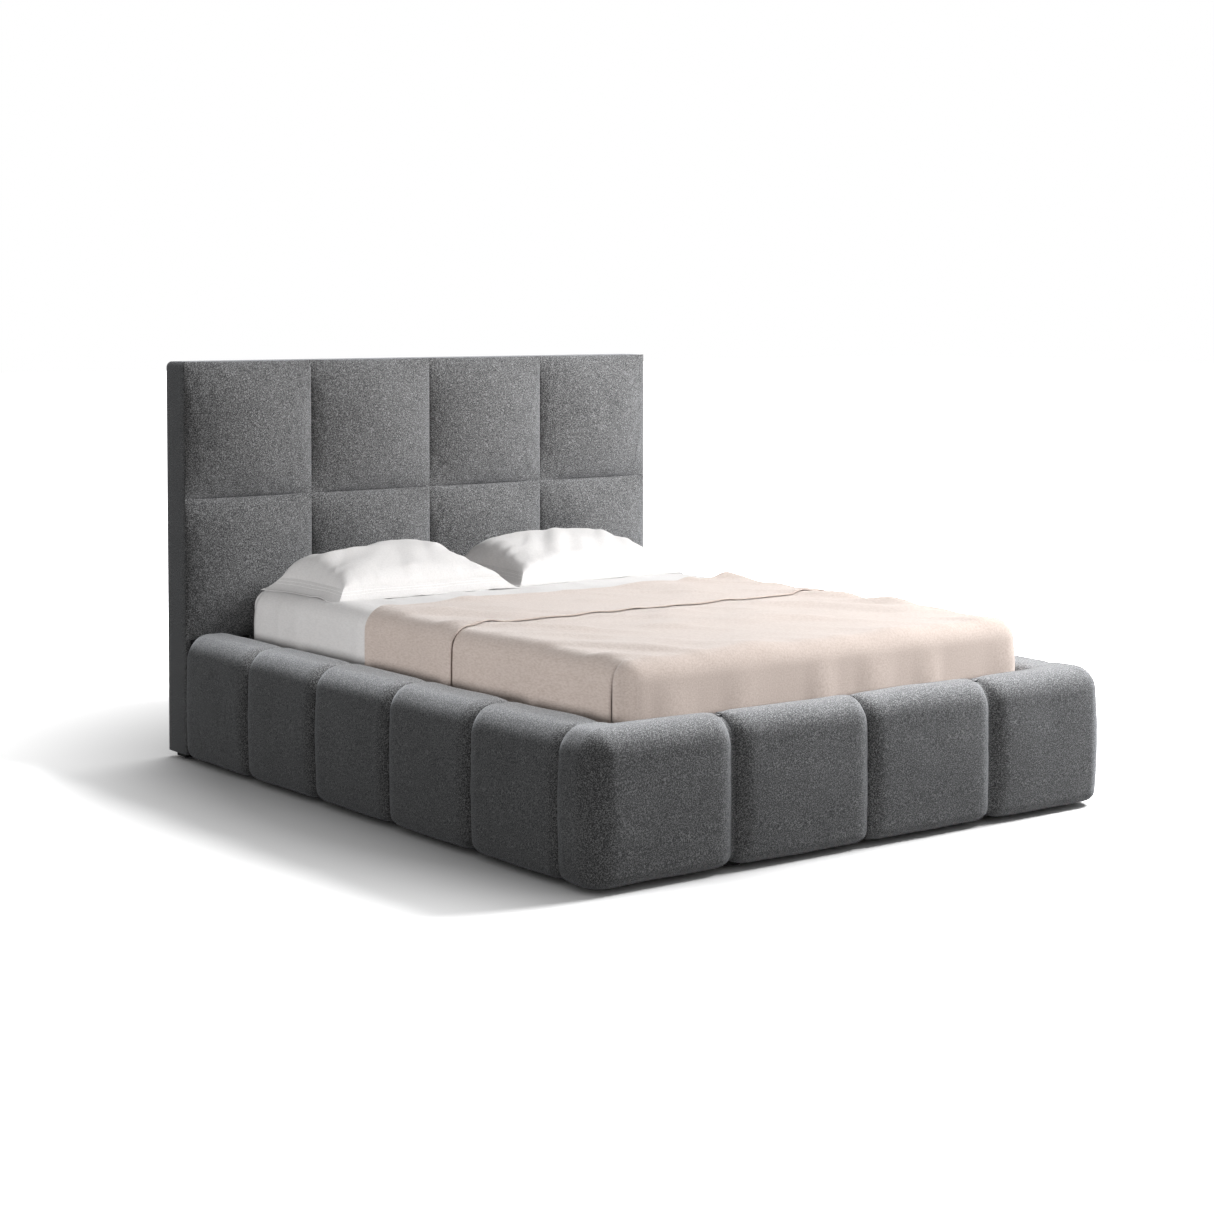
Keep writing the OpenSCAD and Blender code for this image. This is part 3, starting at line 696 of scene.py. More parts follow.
@dataclass
class Headboard:
    """The headboard's front pads, border band, lower pad and back cover."""

    bulge: float = 0.048
    columns: int = 4
    lower_start: float = 0.380
    edge_power: float = 2.1
    border_radius: float = 0.007
    corner_radius: float = 0.020
    stand_off: float = 0.0006
    crease: float = 0.0012
    band_crown: float = 0.0012

    def crowned(
        self, name: str, x: tuple[float, float], z: tuple[float, float], back: float, bulge: float, seed: int
    ) -> bpy.types.Object:
        """Makes a closed pad, flat behind and crowned in front.

        Args:
            name: Name of the piece.
            x: Its left and right edge.
            z: Its lower and upper edge.
            back: Y of its flat back.
            bulge: How far its crown stands forward.
            seed: Picks its small creases.

        Returns:
            The pad.
        """
        count = 56
        u, v = np.meshgrid(pad_outline_spacing(count), pad_outline_spacing(count))
        fall_u = np.maximum(0, 1 - np.abs(u) ** self.edge_power) ** 0.74
        fall_v = np.maximum(0, 1 - np.abs(v) ** (self.edge_power + 0.4)) ** 0.68
        px = (x[0] + x[1]) / 2 + (x[1] - x[0]) / 2 * u
        pz = (z[0] + z[1]) / 2 + (z[1] - z[0]) / 2 * v
        flat = np.column_stack([px.ravel(), np.zeros(px.size), pz.ravel()])
        full = (fall_u * fall_v).ravel()
        edge = (1 - smooth_step(full, 0.35, 0.95)) * smooth_step(full, 0.02, 0.3)
        creases = relief(flat, 0.035, seed) * edge + relief(flat, 0.2, seed + 9) * full
        depth = bulge * full + self.crease * creases
        flat[:, 1] = back - np.maximum(depth, 0)
        faces = grid_faces(count, count)
        rim = list(range(count))
        rim += [r * count + count - 1 for r in range(1, count)]
        rim += [(count - 1) * count + c for c in range(count - 2, -1, -1)]
        rim += [r * count for r in range(count - 2, 0, -1)]
        behind = flat[rim] + np.array([0, self.stand_off, 0])
        total = len(flat)
        verts = np.concatenate([flat, behind])
        following = [(i + 1) % len(rim) for i in range(len(rim))]
        faces += [(rim[i], rim[j], total + j, total + i) for i, j in enumerate(following)]
        faces.append(tuple(total + i for i in range(len(rim))))
        return new_object(name, verts, faces)

    def front_pads(self) -> None:
        """Makes the two rows of pads."""
        low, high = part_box("headboard_border")
        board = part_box("headboard_front_panel")[0].y
        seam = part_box("headboard_pad_upper_1")[0].z
        width = (high.x - low.x) / self.columns
        rows = {"upper": (seam, high.z - 0.001), "lower": (self.lower_start, seam)}
        seeds = {"upper": 20, "lower": 40}
        for word, z in rows.items():
            for column in range(self.columns):
                x = (low.x + column * width, low.x + (column + 1) * width)
                name = f"headboard_{word}_cushion_{column + 1}"
                pad = self.crowned(name, x, z, board - self.stand_off, self.bulge, seeds[word] + column)
                finish_piece(pad, UPHOLSTERY, FRAME_BODY, (f"headboard_pad_{word}_{column + 1}",))

    def lower_pad(self) -> None:
        """Makes the flat pad behind the mattress."""
        low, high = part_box("headboard_lower_pad")
        crown = high.y - low.y - 0.001
        back = high.y - self.stand_off
        pad = self.crowned("headboard_lower_cushion", (low.x, high.x), (low.z, high.z), back, crown, 3)
        finish_piece(pad, UPHOLSTERY, FRAME_BODY, ("headboard_lower_pad",))

    def border(self) -> None:
        """Makes the band that runs up both sides and over the top."""
        low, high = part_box("headboard_border")
        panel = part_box("headboard_front_panel")
        thick = panel[0].x - low.x
        radius, r = self.corner_radius, self.border_radius
        turn = np.linspace(0, math.pi / 2, 8)
        side = spaced(low.z, high.z - radius, 0.04)
        top = spaced(low.x + radius, high.x - radius, 0.04)
        centres = [(low.x + radius, high.z - radius), (high.x - radius, high.z - radius)]

        def corner(centre: tuple[float, float], nx: float, nz: float) -> tuple:
            """A place on a rounded corner and its outward direction."""
            return (centre[0] + radius * nx, centre[1] + radius * nz), (nx, nz)

        path = [((low.x, z), (-1.0, 0.0)) for z in side]
        path += [corner(centres[0], -math.cos(a), math.sin(a)) for a in turn[1:-1]]
        path += [((x, high.z), (0.0, 1.0)) for x in top]
        path += [corner(centres[1], math.sin(a), math.cos(a)) for a in turn[1:-1]]
        path += [((high.x, z), (1.0, 0.0)) for z in side[::-1]]
        across = np.linspace(low.y + r, high.y - r, 9)
        face = [(self.band_crown * (1 - ((y - low.y) / (high.y - low.y) * 2 - 1) ** 2), y) for y in across]
        front = [(r * (math.cos(a) - 1), low.y + r - r * math.sin(a)) for a in turn[::-1]]
        rear = [(r * (math.cos(a) - 1), high.y - r + r * math.sin(a)) for a in turn]
        section = [(-thick, low.y)] + front[:-1] + face + rear[1:] + [(-thick, high.y)]
        verts = [
            (px + nx * d, y, pz + nz * d)
            for (px, pz), (nx, nz) in path
            for d, y in [(d - 0.0012, y) for d, y in section]
        ]
        count = len(section)
        faces = grid_faces(len(path), count, wrap=True)
        faces.append(tuple(range(count)))
        faces.append(tuple(len(verts) - 1 - i for i in range(count)))
        band = new_object("headboard_border_band", np.array(verts), faces)
        finish_piece(band, UPHOLSTERY, FRAME_BODY, ("headboard_border",))

    def back_cover(self) -> None:
        """Makes the black cloth on the back, pulled tight over a turned hem."""
        low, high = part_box("headboard_back_cover")
        x, z = np.meshgrid(spaced(low.x + 0.002, high.x - 0.002, 0.02), spaced(low.z, high.z - 0.002, 0.02))
        flat = np.column_stack([x.ravel(), np.zeros(x.size), z.ravel()])
        across, up = flat[:, 0], flat[:, 2]
        edge = np.minimum.reduce([across - low.x, high.x - across, up - low.z, high.z - up])
        hem = 0.0015 * (1 - smooth_step(edge, 0.028, 0.034))
        pull = 0.0009 * relief(flat, 0.05, 5) * (1 - smooth_step(edge, 0.02, 0.14))
        flat[:, 1] = high.y - 0.0035 + hem + pull + 0.0008 * relief(flat, 0.3, 6)
        cover = new_object("headboard_back_cloth", flat, grid_faces(*x.shape))
        add_modifier(cover, "SOLIDIFY", thickness=0.004, offset=-1.0)
        bake_modifiers(cover)
        finish_piece(cover, LINING, FRAME_BODY, ("headboard_back_cover",))

    def make(self) -> None:
        """Makes the whole headboard."""
        self.front_pads()
        self.lower_pad()
        self.border()
        self.back_cover()


# -------------------------------------------------------------------- bedding


class Side(Enum):
    """Left or right, as the sign of X."""

    LEFT = -1
    RIGHT = 1


@dataclass
class Strip:
    """A place along the bed where a cover has one row of points."""

    y: float
    lift: float
    fold: float = 0.0
    spread: float = 0.0


@dataclass
class Cover:
    """A skin over the mattress: a flat top, rounded edges and drops down the sides."""

    lift: float
    hem: float
    radius: float = 0.050
    step: float = 0.016
    skirt_rows: int = 15
    arc_rows: int = 8

    def __post_init__(self) -> None:
        """Reads the mattress's box."""
        low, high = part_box("mattress")
        self.edge = high.x - self.radius
        self.foot = low.y + self.radius
        self.head = high.y - self.radius
        self.top = high.z
        self.across = spaced(-self.edge, self.edge, self.step)

    def drop(self, lift: float) -> tuple[Points, Points]:
        """The line from the top's edge over the rounding and down to the hem.

        Args:
            lift: How far the skin lies outside the mattress.

        Returns:
            Outward distance and height of each point, and the outward normal's same two parts.
        """
        turn = np.linspace(0, math.pi / 2, self.arc_rows + 1)
        reach = self.radius + lift
        arc = np.column_stack([reach * np.sin(turn), self.top - self.radius + reach * np.cos(turn)])
        down = np.linspace(arc[-1, 1], self.hem, self.skirt_rows + 1)[1:]
        fall = np.column_stack([np.full(len(down), reach), down])
        normal = np.column_stack([np.sin(turn), np.cos(turn)])
        return np.concatenate([arc, fall]), np.concatenate([normal, np.tile([1.0, 0.0], (len(down), 1))])

    def length_part(self, strips: list[Strip]) -> Skin:
        """The part that runs along the bed, hem to hem across it.

        Args:
            strips: The rows, in order along the cloth.

        Returns:
            Points, their outward normals, and faces.
        """
        verts, normals = [], []
        for strip in strips:
            line, out = self.drop(strip.lift)
            deep = smooth_step(-line[:, 1], -self.top, -self.top + 0.10)
            wide = line[:, 0] + strip.spread * deep
            for sign in (-1, 1):
                part = np.column_stack([sign * (self.edge + wide), strip.y + strip.fold * deep, line[:, 1]])
                face = np.column_stack([sign * out[:, 0], np.zeros(len(out)), out[:, 1]])
                if sign < 0:
                    verts.append(part[::-1])
                    normals.append(face[::-1])
                    flat = self.across[1:-1]
                    level = np.tile([strip.y, self.top + strip.lift], (len(flat), 1))
                    verts.append(np.column_stack([flat, level]))
                    normals.append(np.tile([0.0, 0.0, 1.0], (len(flat), 1)))
                else:
                    verts.append(part)
                    normals.append(face)
        columns = 2 * len(self.drop(self.lift)[0]) + len(self.across) - 2
        return np.concatenate(verts), np.concatenate(normals), grid_faces(len(strips), columns)

    def end_part(self, y: float, way: int, lift: float) -> Skin:
        """The drop at the foot or the head with its two rounded corners.

        Args:
            y: Where the top ends there.
            way: -1 at the foot, 1 at the head.
            lift: How far the skin lies outside the mattress.

        Returns:
            Points, their outward normals, and faces.
        """
        line, out = self.drop(lift)
        turn = np.linspace(0, math.pi / 2, 9)
        spots = [(-self.edge, -math.cos(a), way * math.sin(a)) for a in turn]
        spots += [(x, 0.0, float(way)) for x in self.across[1:-1]]
        spots += [(self.edge, math.cos(a), way * math.sin(a)) for a in turn[::-1]]
        reach, height = line.T
        verts = [np.column_stack([x + nx * reach, y + ny * reach, height]) for x, nx, ny in spots]
        normals = [np.column_stack([nx * out[:, 0], ny * out[:, 0], out[:, 1]]) for _, nx, ny in spots]
        return np.concatenate(verts), np.concatenate(normals), grid_faces(len(spots), len(line))


def joined(parts: list[Skin]) -> Skin:
    """Puts several parts of a skin into one list of points, normals and faces."""
    verts, normals, faces, first = [], [], [], 0
    for points, outward, part in parts:
        verts.append(points)
        normals.append(outward)
        faces += [tuple(i + first for i in face) for face in part]
        first += len(points)
    return np.concatenate(verts), np.concatenate(normals), faces


@dataclass
class Bedding:
    """Mattress, fitted sheet, blanket with its turned-down head end, and pillows."""

    sheet_lift: float = 0.0016
    blanket_lift: float = 0.0048
    band_lift: float = 0.0060
    roll: float = 0.0058
    pleat_depth: float = 0.050
    blanket_thick: float = 0.0024
    sheet_thick: float = 0.0010
    sheet_spread: float = 0.010
    blanket_step: float = 0.0135
    band_hem_y: float = -0.215
    arm_y: float = 0.52
    piping: float = 0.0012
    sheet_fold: float = 0.0045
    sheet_crease: float = 0.0035
    foot_drape: float = 0.0042
    side_drape: float = 0.0022
    blanket_crease: float = 0.0036
    edge_crease: float = 0.0052
    blanket_swell: float = 0.0060
    hem_sway: float = 0.005
    sheet_flat: tuple[float, float] = (1.79, 2.35)
    sheet_area: float = 4.0
    blanket_flat: tuple[float, float] = (1.80, 2.05)

    def mattress(self) -> None:
        """Makes the mattress with its piped edges."""
        low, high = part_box("mattress")
        cover = Cover(0.0, low.z + 0.012)
        rows = [Strip(y, 0.0) for y in spaced(cover.foot, cover.head, 0.05)]
        verts, normals, faces = joined(
            [cover.length_part(rows), cover.end_part(cover.foot, -1, 0.0), cover.end_part(cover.head, 1, 0.0)]
        )
        side = np.linalg.norm(normals[:, :2], axis=1) > 0.9
        piping = self.piping * side * np.cos((verts[:, 2] - low.z) / (high.z - low.z) * math.tau * 2)
        verts = verts + normals * piping[:, None]
        body = new_object("mattress_body", verts, faces)
        work = bmesh.new()
        work.from_mesh(body.data)
        rim = [edge for edge in work.edges if edge.is_boundary]
        made = bmesh.ops.extrude_edge_only(work, edges=rim)["geom"]
        under = [item for item in made if isinstance(item, bmesh.types.BMVert)]
        for vert in under:
            vert.co = (vert.co.x * 0.985, vert.co.y * 0.99, low.z)
        base = [edge for edge in work.edges if edge.is_boundary]
        bmesh.ops.contextual_create(work, geom=base)
        bmesh.ops.recalc_face_normals(work, faces=work.faces)
        work.to_mesh(body.data)
        work.free()
        finish_piece(body, TICKING, BASE_BODY, ("mattress",))

    def sheet(self) -> None:
        """Makes the fitted sheet, creased where it shows by the pillows."""
        cover = Cover(self.sheet_lift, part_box("mattress")[0].z + 0.004)
        rows = [
            Strip(y, cover.lift, 0.0, self.sheet_spread * float(smooth_step(np.array([y]), 0.68, 0.90)[0]))
            for y in spaced(cover.foot, cover.head, 0.014)
        ]
        verts, normals, faces = joined(
            [
                cover.length_part(rows),
                cover.end_part(cover.foot, -1, cover.lift),
                cover.end_part(cover.head, 1, cover.lift),
            ]
        )
        arm_sweep = 0.25 + 0.75 * smooth_step(np.abs(verts[:, 1] - self.arm_y), 0.12, 0.22)
        shown = smooth_step(verts[:, 1], 0.20, 0.27)
        side = np.clip(np.abs(normals[:, 0]) + np.abs(normals[:, 1]), 0, 1)
        folds = np.maximum(0, relief(verts, 0.07, 31, (0.3, 1.0, 0.12))) * side * self.sheet_fold * arm_sweep
        top = np.maximum(0, relief(verts, 0.10, 32, (1.0, 0.5, 0.0))) * (1 - side) * self.sheet_crease
        verts = verts + normals * ((folds + top) * shown)[:, None]
        sheet = new_object("fitted_sheet_cloth", verts, faces)
        self.thicken(sheet, self.sheet_thick)
        finish_piece(sheet, LINEN, BASE_BODY, ("fitted_sheet",))

    def blanket(self) -> None:
        """Makes the blanket: tucked in at the foot, turned down at the head end."""
        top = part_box("mattress")[1].z
        cover = Cover(self.blanket_lift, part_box("blanket")[0].z)
        bend_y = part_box("blanket")[1].y - 0.006
        pleat_y = cover.foot + 0.012
        lift = cover.lift
        rows = [Strip(cover.foot, lift, 0, 0.004), Strip(pleat_y, lift, 0.0, 0.006)]
        depth = self.pleat_depth
        rows += [
            Strip(pleat_y + 0.001, lift, share * depth, 0.007 + 0.003 * share)
            for share in (0.25, 0.5, 0.75, 0.95, 1.0)
        ]
        rows += [
            Strip(pleat_y + 0.002, lift, share * depth, 0.0035) for share in (1.02, 0.9, 0.6, 0.3, 0.1, 0.0)
        ]
        rows += [Strip(pleat_y + 0.003, lift, share * depth, 0.0) for share in (-0.04, 0.2, 0.5)]
        start = pleat_y + 0.004
        for y in spaced(start, bend_y, self.blanket_step):
            rows.append(Strip(y, lift, depth * 0.5 * max(0, 1 - (y - start) / 0.10)))
        turn = np.linspace(-math.pi / 2, math.pi / 2, 9)[1:-1]
        rows += [Strip(bend_y + self.roll * math.cos(a), lift + self.roll * (1 + math.sin(a))) for a in turn]
        for y in spaced(self.band_hem_y, bend_y, self.blanket_step)[::-1]:
            settled = math.exp(-(bend_y - y) / 0.03)
            rows.append(Strip(y, lift + self.band_lift + (2 * self.roll - self.band_lift) * settled))
        verts, normals, faces = joined([cover.length_part(rows), cover.end_part(cover.foot, -1, lift)])
        side = np.clip(np.linalg.norm(normals[:, :2], axis=1), 0, 1)
        low_down = smooth_step(-verts[:, 2], -top, -top + 0.12)
        at_foot = smooth_step(-verts[:, 1], -cover.foot, -cover.foot + 0.02)
        depth_there = self.foot_drape * at_foot + self.side_drape * (1 - at_foot)
        drape = np.maximum(-0.2, relief(verts, 0.11, 41, (1.0, 0.6, 0.05))) * depth_there * low_down
        creases = np.maximum(0, relief(askew(verts, 1), 0.12, 42, (1.0, 0.25, 0.0)))
        soft = np.maximum(0, relief(verts, 0.30, 43, (1.0, 1.0, 0.0)))
        near_edge = smooth_step(np.abs(verts[:, 0]), 0.25, 0.60)
        rumpled = (self.blanket_crease + self.edge_crease * near_edge) * creases + self.blanket_swell * soft
        verts = verts + normals * (drape * side + rumpled * (1 - side))[:, None]
        loose = smooth_step(verts[:, 1], -0.75, -0.30)
        verts[:, 1] += self.hem_sway * relief(verts * np.array([1, 0, 1]), 0.35, 44) * loose
        blanket = new_object("blanket_cloth", verts, faces)
        self.thicken(blanket, self.blanket_thick)
        finish_piece(blanket, BLANKET, BASE_BODY, ("blanket",))

    def thicken(self, obj: bpy.types.Object, thick: float) -> None:
        """Gives a skin its thickness, half to each side."""
        add_modifier(obj, "SOLIDIFY", thickness=thick, offset=0.0)
        bake_modifiers(obj)

    def make(self) -> None:
        """Makes the mattress and everything on it."""
        self.mattress()
        self.sheet()
        self.blanket()
        for side in Side:
            Pillow(side).make()


@dataclass
class Pillow:
    """A pillow in a case whose flat flange runs all round."""

    side: Side
    flange: float = 0.045
    seam_rise: float = 0.036
    waist: float = 0.020
    cells: int = 74
    seam_points: int = 160
    hem_points: int = 7
    gather: float = 0.0040
    slump: float = 0.0100

    @property
    def word(self) -> str:
        """The side as used in names."""
        return self.side.name.lower()

    def plan(self, u: Points, v: Points) -> tuple[Points, Points]:
        """Where a point lies on the bed; u across the pillow and v along it are -1 to 1 at the seam."""
        low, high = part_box(f"pillow_{self.word}")
        half_x, half_y = (high.x - low.x) / 2 - self.flange, (high.y - low.y) / 2 - self.flange
        pinch_x = self.waist * (1 - np.abs(v) ** 2.5) * np.sign(u) * np.abs(u) ** 3
        pinch_y = self.waist * 0.8 * (1 - np.abs(u) ** 3) * np.sign(v) * np.abs(v) ** 3
        x = (low.x + high.x) / 2 + half_x * u - pinch_x
        y = (low.y + high.y) / 2 + half_y * v - pinch_y
        return x, y

    def rim_height(self, x: Points, y: Points) -> Points:
        """Height of the seam all round."""
        low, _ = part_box(f"pillow_{self.word}")
        points = np.column_stack([x, y, np.zeros(len(x))])
        return low.z + self.seam_rise + 0.005 * relief(points, 0.28, 60 + self.side.value)

    def core(self) -> tuple[Points, Faces]:
        """The stuffed part: its upper and its lower side.

        Returns:
            Points, upper side first, and faces.
        """
        low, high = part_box(f"pillow_{self.word}")
        n = self.cells
        u, v = (g.ravel() for g in np.meshgrid(pad_outline_spacing(n), pad_outline_spacing(n)))
        x, y = self.plan(u, v)
        rim = self.rim_height(x, y)
        along = np.where(v < 0, 1 - np.abs(v) ** 2.2, 1 - np.abs(v) ** 5.0)
        swell = np.maximum(0, (1 - np.abs(u) ** 8.0) * along) ** 0.50
        slope = 0.70 + 0.30 * smooth_step(v, -1.0, 0.6) - 0.16 * np.abs(u) ** 2.5
        flat = np.column_stack([x, y, np.zeros(len(x))])
        seed = 70 + self.side.value
        near_v, near_u = np.exp(-(1 - np.abs(v)) / 0.22), np.exp(-(1 - np.abs(u)) / 0.16)
        tucks = near_v * relief(flat, 0.034, seed, (1, 0.15, 0))
        tucks = tucks + near_u * relief(flat, 0.034, seed + 5, (0.15, 1, 0))
        away = np.minimum(1, 14 * swell)
        dents = -self.slump * np.abs(relief(flat, 0.22, seed + 9, (1, 1, 0))) ** 1.3 * swell
        ridge = 1.5 * np.maximum(0, relief(askew(flat, -1), 0.10, seed + 3, (1, 0.22, 0)))
        creases = self.gather * (tucks * swell**0.3 + ridge * swell) * away
        crown = high.z + 0.006 - low.z - self.seam_rise
        upper = rim + crown * swell * slope + creases + dents
        lower = np.maximum(low.z + 0.0012, rim - self.seam_rise * 1.5 * swell**0.6)
        points = np.concatenate([np.column_stack([x, y, upper]), np.column_stack([x, y, lower])])
        top = grid_faces(n, n)
        return points, top + [tuple(i + n * n for i in face[::-1]) for face in top]

    def border(self, count: int) -> Points:
        """The flange's middle surface.

        Args:
            count: Points from the seam to the outer hem.

        Returns:
            Rows of points, one row for each place round the seam.
        """
        low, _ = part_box(f"pillow_{self.word}")
        span = np.linspace(-1, 1, self.seam_points)[:-1]
        ends = np.ones(self.seam_points - 1)
        u = np.concatenate([span, ends, -span, -ends])
        v = np.concatenate([-ends, span, ends, -span])
        x, y = self.plan(u, v)
        rim = self.rim_height(x, y)
        out_x = np.sign(u) * np.maximum(0, (np.abs(u) - 0.90) / 0.10)
        out_y = np.sign(v) * np.maximum(0, (np.abs(v) - 0.86) / 0.14)
        way = np.column_stack([out_x, out_y])
        way /= np.maximum(np.abs(way).max(axis=1), 1e-9)[:, None]
        rows = []
        flat = np.column_stack([x, y, np.zeros(len(x))])
        wave = relief(flat, 0.16, 90 + self.side.value)
        for k in range(count):
            share = k / (count - 1)
            reach = share * self.flange
            rest = self.rest_height(x + way[:, 0] * reach, low.z)
            fall = rim * (1 - share) ** 1.6 + rest * (1 - (1 - share) ** 1.6)
            height = np.maximum(rest + 0.0012, fall + 0.004 * share * wave)
            rows.append(np.column_stack([x + way[:, 0] * reach, y + way[:, 1] * reach, height]))
        return np.stack(rows, axis=1)

    def rest_height(self, x: Points, low_z: float) -> Points:
        """How low the flange can hang there: on the sheet, or over the mattress's rounded edge."""
        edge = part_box("mattress")[1].x
        over = np.clip(np.abs(x) - (edge - 0.050), 0, 0.050)
        return low_z + 0.0005 - (0.050 - np.sqrt(np.maximum(0, 0.050**2 - over**2)))

    def make(self) -> None:
        """Makes the pillow, its flange and the stitching round it."""
        points, faces = self.core()
        rows = self.border(self.hem_points)
        loop, deep = rows.shape[:2]
        upper = rows + np.array([0, 0, 0.0009])
        lower = rows - np.array([0, 0, 0.0009])
        verts = [points, upper.reshape(-1, 3), lower.reshape(-1, 3)]
        first, second = len(points), len(points) + loop * deep
        ring = list(range(loop)) + [0]
        for a, b in zip(ring[:-1], ring[1:]):
            for k in range(deep - 1):
                quad = (a * deep + k, b * deep + k, b * deep + k + 1, a * deep + k + 1)
                faces.append(tuple(first + i for i in quad))
                faces.append(tuple(second + i for i in quad[::-1]))
            for k in (0, deep - 1):
                here, beside = a * deep + k, b * deep + k
                faces.append((first + here, first + beside, second + beside, second + here))
        pillow = new_object(f"pillow_{self.word}_case", np.concatenate(verts), faces)
        finish_piece(pillow, LINEN, BASE_BODY, (f"pillow_{self.word}",))
        for number, place in enumerate((1, 2)):
            stitch_path = rows[:, place, :] + np.array([0, 0, 0.0016])
            name = f"pillow_{self.word}_stitches_{number + 1}"
            Stitching(0.006, 0.0042).sew(name, stitch_path, THREAD, BASE_BODY)


# ---------------------------------------------------- repeated small hardware


class Network:
    """Builds a Geometry Nodes tree with named inputs."""

    def __init__(self, name: str, inputs: dict[str, str]) -> None:
        """Starts the tree.

        Args:
            name: Name of the tree.
            inputs: Socket type of each input, by its name.
        """
        self.tree = bpy.data.node_groups.new(name, "GeometryNodeTree")
        self.tree.interface.new_socket("Geometry", in_out="INPUT", socket_type="NodeSocketGeometry")
        self.keys: dict[str, str] = {}
        for label, kind in inputs.items():
            socket = self.tree.interface.new_socket(label, in_out="INPUT", socket_type=kind)
            self.keys[label] = socket.identifier
        self.tree.interface.new_socket("Geometry", in_out="OUTPUT", socket_type="NodeSocketGeometry")
        self.source = self.tree.nodes.new("NodeGroupInput")

    def node(self, kind: str, links: dict[str, Socket], **settings: object) -> bpy.types.Node:
        """Adds a node.

        Args:
            kind: Its type, without the common prefix.
            links: What feeds each of its inputs, by name.
            **settings: Its options.

        Returns:
            The node.
        """
        made = self.tree.nodes.new("GeometryNode" + kind)
        for key, value in settings.items():
            setattr(made, key, value)
        for label, socket in links.items():
            self.tree.links.new(socket, made.inputs[label])
        return made

    def given(self, label: str) -> Socket:
        """The named input's socket."""
        return self.source.outputs[label]

    def close(self, instances: Socket) -> None:
        """Ends the tree: real geometry with the finish."""
        real = self.node("RealizeInstances", {"Geometry": instances})
        painted = self.node("SetMaterial", {"Geometry": real.outputs[0], "Material": self.given("Finish")})
        ending = self.tree.nodes.new("NodeGroupOutput")
        self.tree.links.new(painted.outputs[0], ending.inputs[0])

    def run(self, obj: bpy.types.Object, values: dict[str, object]) -> bpy.types.Object:
        """Runs the tree on the object and keeps the result as a plain mesh.

        Args:
            obj: The object that carries the tree.
            values: Value of each named input.

        Returns:
            The same object.
        """
        modifier = obj.modifiers.new(self.tree.name, "NODES")
        modifier.node_group = self.tree
        for label, value in values.items():
            modifier[self.keys[label]] = value
        bake_modifiers(obj)
        return obj


def grid_network() -> Network:
    """A tree that repeats a piece in rows and columns."""
    net = Network(
        "rows_and_columns",
        {
            "Piece": "NodeSocketObject",
            "Start": "NodeSocketVector",
            "Count": "NodeSocketInt",
            "Step": "NodeSocketVector",
            "Rows": "NodeSocketInt",
            "Row Step": "NodeSocketVector",
            "Finish": "NodeSocketMaterial",
        },
    )
    piece = net.node("ObjectInfo", {"Object": net.given("Piece")})
    places = {"Count": net.given("Count"), "Offset": net.given("Step"), "Start Location": net.given("Start")}
    line = net.node("MeshLine", places)
    one_row = net.node("InstanceOnPoints", {"Points": line.outputs[0], "Instance": piece.outputs["Geometry"]})
    rows = net.node("MeshLine", {"Count": net.given("Rows"), "Offset": net.given("Row Step")})
    every = net.node("InstanceOnPoints", {"Points": rows.outputs[0], "Instance": one_row.outputs[0]})
    net.close(every.outputs[0])
    return net


def seam_network() -> Network:
    """A tree that lays a piece along a line at an even spacing, turned along it."""
    net = Network(
        "along_a_line",
        {"Piece": "NodeSocketObject", "Spacing": "NodeSocketFloat", "Finish": "NodeSocketMaterial"},
    )
    piece = net.node("ObjectInfo", {"Object": net.given("Piece")})
    curve = net.node("MeshToCurve", {"Mesh": net.source.outputs[0]})
    spacing = net.given("Spacing")
    even = net.node("ResampleCurve", {"Curve": curve.outputs[0], "Length": spacing}, mode="LENGTH")
    tangent = net.node("InputTangent", {})
    turn = net.tree.nodes.new("FunctionNodeAlignRotationToVector")
    turn.axis = "X"
    net.tree.links.new(tangent.outputs[0], turn.inputs["Vector"])
    laid = net.node(
        "InstanceOnPoints",
        {"Points": even.outputs[0], "Instance": piece.outputs["Geometry"], "Rotation": turn.outputs[0]},
    )
    net.close(laid.outputs[0])
    return net


GRID = grid_network()
SEAM = seam_network()


def rounded_block(name: str, size: Triple, bevel: float, segments: int = 2) -> bpy.types.Object:
    """A box round the origin with rounded edges."""
    mesh = bpy.data.meshes.new(name)
    work = bmesh.new()
    bmesh.ops.create_cube(work, size=1.0)
    bmesh.ops.scale(work, vec=size, verts=work.verts)
    bmesh.ops.bevel(work, geom=work.edges, offset=bevel, segments=segments, affect="EDGES", profile=0.5)
    work.to_mesh(mesh)
    work.free()
    obj = bpy.data.objects.new(name, mesh)
    bpy.context.scene.collection.objects.link(obj)
    return obj


@dataclass
class Stitching:
    """A line of stitches."""

    spacing: float
    length: float
    thick: float = 0.0009

    def sew(self, name: str, path: Points, finish: Finish, body: str) -> None:
        """Sews along a closed path.

        Args:
            name: Name of the piece.
            path: Points of the path.
            finish: The thread.
            body: The body that it moves with.
        """
        size = (self.length, self.thick, self.thick * 0.8)
        stitch = rounded_block("one_stitch", size, self.thick * 0.25, 1)
        mesh = bpy.data.meshes.new(name)
        count = len(path)
        mesh.from_pydata(path.tolist(), [(i, (i + 1) % count) for i in range(count)], [])
        line = bpy.data.objects.new(name, mesh)
        bpy.context.scene.collection.objects.link(line)
        SEAM.run(line, {"Piece": stitch, "Spacing": self.spacing, "Finish": finish.material()})
        bpy.data.objects.remove(stitch)
        finish_piece(line, finish, body)


